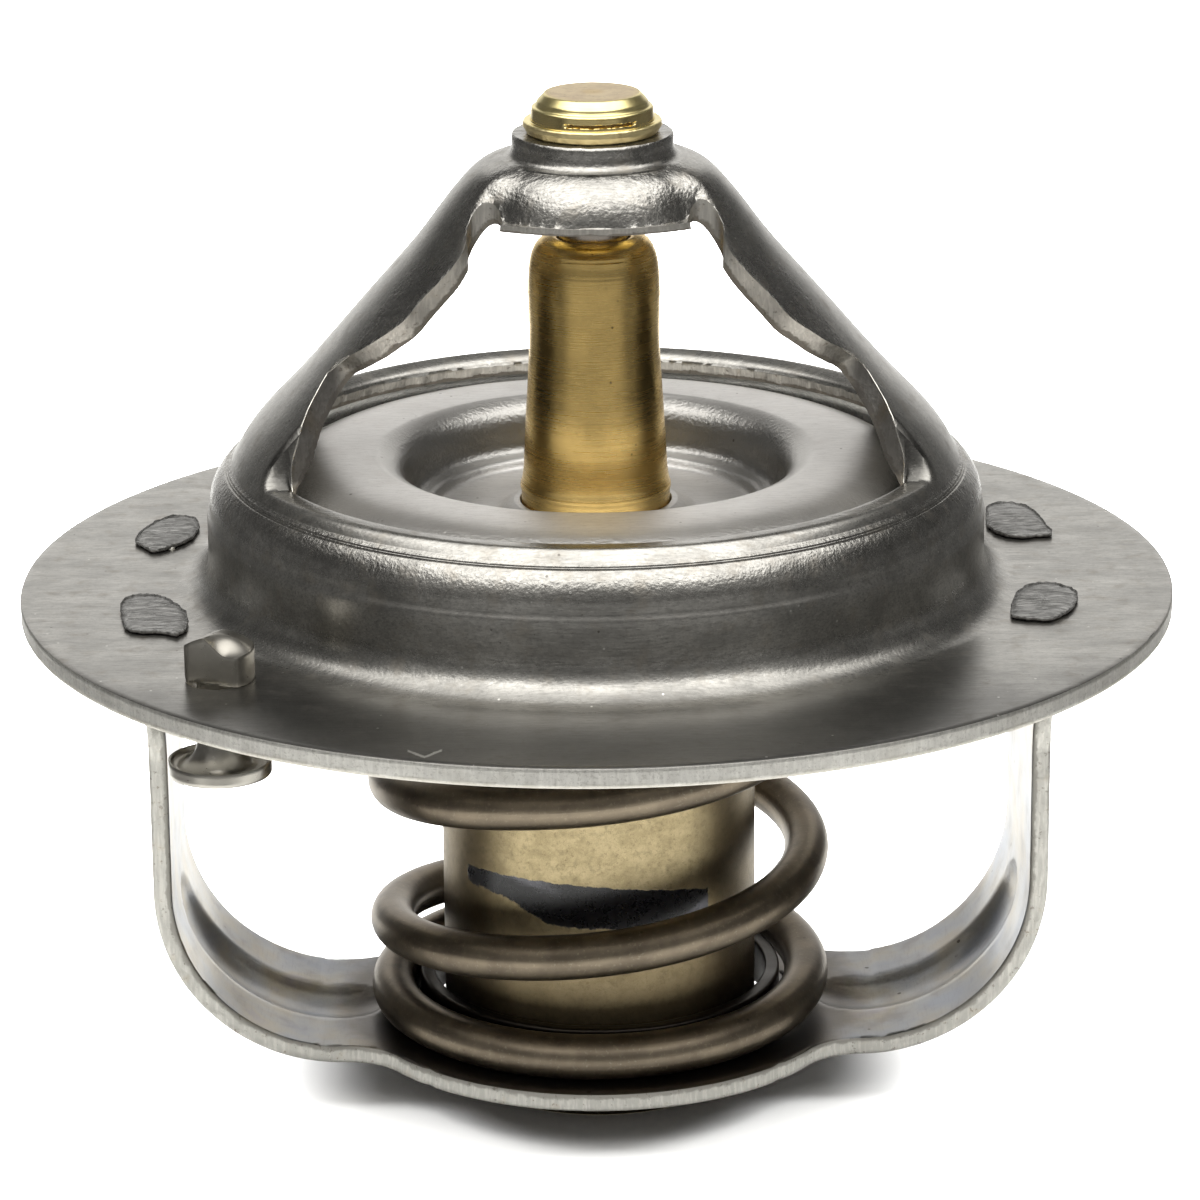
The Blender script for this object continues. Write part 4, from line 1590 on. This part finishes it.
burr = join("window_burrs", burrs)
for piece, body, node, slot in (
        (bridge, "frame", "frame_body", "sheet_steel"), (plug, "frame", "pin_seat_plug", "plug_brass"),
        (piston, "frame", "piston", "pin_steel"), (strap, "frame", "stirrup", "strap_steel"),
        (spring, "frame", "main_spring", "spring_steel"), (guide, "valve", "guide_stem", "guide_brass"),
        (cup, "valve", "element_cup", "cup_brass"), (valve, "valve", "valve_disc", "valve_steel"),
        (vent, "vent", "jiggle_pin", "vent_steel")):
    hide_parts(node)
    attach(piece, body)
for piece, slot in ((burr, "sheet_steel"), (tabs, "strap_steel")):
    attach(piece, "frame")
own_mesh(spring)


# ------------------------------------------------------------------ studio
def studio():
    """White sweep and overhead soft box; dark behind the camera, bright behind the part."""
    bpy.ops.mesh.primitive_plane_add(size=6.0, location=(0, 0, 0))
    floor = bpy.context.object
    floor.name = "studio_floor"
    floor.data.materials.append(floor_material())
    floor.visible_glossy = False
    # what the metal sees of the sweep: it ends a little in front of the part
    card = make_obj("sweep_card", [(-60, -62, -F + 0.04), (60, -62, -F + 0.04), (60, 500, -F + 0.04), (-60, 500, -F + 0.04)],
                    [(0, 1, 2, 3)], [card_material()])
    card.visible_camera = False
    card.visible_diffuse = False
    card.visible_shadow = False
    card.visible_transmission = False

    world = bpy.data.worlds.new("studio")
    scene.world = world
    world.use_nodes = True
    t = world.node_tree
    t.nodes.clear()
    out = t.nodes.new("ShaderNodeOutputWorld")
    bg = t.nodes.new("ShaderNodeBackground")
    pale = t.nodes.new("ShaderNodeBackground")
    pick = t.nodes.new("ShaderNodeMixShader")
    path = t.nodes.new("ShaderNodeLightPath")
    tc = t.nodes.new("ShaderNodeTexCoord")
    sep = t.nodes.new("ShaderNodeSeparateXYZ")
    t.links.new(tc.outputs["Generated"], sep.inputs[0])

    def m(op, a, b=None, clamp=False):
        n = t.nodes.new("ShaderNodeMath")
        n.operation = op
        n.use_clamp = clamp
        for s_, v in zip(n.inputs, (a, b)):
            if isinstance(v, bpy.types.NodeSocket):
                t.links.new(v, s_)
            elif v is not None:
                s_.default_value = v
        return n.outputs[0]

    def rng(v, a, b, c, d):
        n = t.nodes.new("ShaderNodeMapRange")
        n.interpolation_type = "SMOOTHSTEP"
        t.links.new(v, n.inputs["Value"])
        for key, val in zip(("From Min", "From Max", "To Min", "To Max"), (a, b, c, d)):
            n.inputs[key].default_value = val
        return n.outputs[0]

    x, y, z = sep.outputs
    flat = m("SQRT", m("ADD", m("MULTIPLY", x, x), m("MULTIPLY", y, y)))
    az = m("DIVIDE", y, m("MAXIMUM", flat, 0.001))
    front = rng(az, -0.25, -0.60, 0.0, 1.0)
    back = rng(az, 0.85, 0.95, 0.0, 1.0)
    side = m("SUBTRACT", m("SUBTRACT", 1.0, front), back)
    ax = m("ABSOLUTE", m("DIVIDE", x, m("MAXIMUM", flat, 0.001)))
    strip = m("MULTIPLY", front, rng(ax, 0.92, 0.66, 0.0, 1.0))
    # above the horizon
    back_level = m("ADD", rng(z, 0.56, 0.40, 0.0, 0.96), 0.20)
    side_level = m("ADD", rng(z, 0.30, 0.05, 0.0, 0.08), 0.09)
    front_level = rng(z, 0.02, 0.40, 0.10, 0.42)
    over = m("ADD", m("ADD", m("MULTIPLY", front, front_level), m("MULTIPLY", side, side_level)), m("MULTIPLY", back, back_level))
    # below it: the white sweep, dark where it ends towards the camera
    front_low = m("ADD", rng(z, -0.50, -0.80, 0.04, 0.6), m("MULTIPLY", strip, 0.36))
    side_low = rng(z, -0.15, -0.65, 0.12, 0.8)
    back_low = rng(z, 0.0, -0.3, 1.2, 0.9)
    under = m("ADD", m("ADD", m("MULTIPLY", front, front_low), m("MULTIPLY", side, side_low)), m("MULTIPLY", back, back_low))
    sky = rng(z, -0.02, 0.02, 0.0, 1.0)
    low = m("ADD", m("MULTIPLY", over, sky), m("MULTIPLY", under, m("SUBTRACT", 1.0, sky)))
    # soft box overhead, a little to the front
    zc = m("MAXIMUM", z, 0.05)
    u = m("ABSOLUTE", m("DIVIDE", x, zc))
    w = m("DIVIDE", y, zc)
    box = m("MULTIPLY", rng(u, 1.15, 0.75, 0.0, 1.0), m("MULTIPLY", rng(w, -1.25, -0.85, 0.0, 1.0), rng(w, 0.55, 0.22, 0.0, 1.0)))
    value = m("ADD", low, m("MULTIPLY", box, 2.7))
    comb = t.nodes.new("ShaderNodeCombineColor")
    t.links.new(value, comb.inputs[0])
    t.links.new(m("MULTIPLY", value, 0.985), comb.inputs[1])
    t.links.new(m("MULTIPLY", value, 0.955), comb.inputs[2])
    t.links.new(comb.outputs[0], bg.inputs["Color"])
    pale.inputs["Color"].default_value = (0.97, 0.97, 0.97, 1)
    t.links.new(path.outputs["Is Camera Ray"], pick.inputs[0])
    t.links.new(bg.outputs[0], pick.inputs[1])
    t.links.new(pale.outputs[0], pick.inputs[2])
    t.links.new(pick.outputs[0], out.inputs[0])

    def area(name, loc, size, power, target=(0, 0, 0.022), colour=(1, 1, 1)):
        lamp = bpy.data.lights.new(name, "AREA")
        lamp.shape = "RECTANGLE"
        lamp.size, lamp.size_y = size
        lamp.energy = power
        lamp.color = colour
        ob = bpy.data.objects.new(name, lamp)
        ob.location = loc
        ob.rotation_euler = (Vector(target) - Vector(loc)).to_track_quat("-Z", "Y").to_euler()
        ob.visible_glossy = False
        scene.collection.objects.link(ob)

    area("floor_fill_left", (-0.7, 0.1, 0.9), (0.9, 0.9), 50.0)
    area("floor_fill_right", (0.7, 0.1, 0.9), (0.9, 0.9), 50.0)
    scene.view_settings.view_transform = "Standard"


studio()
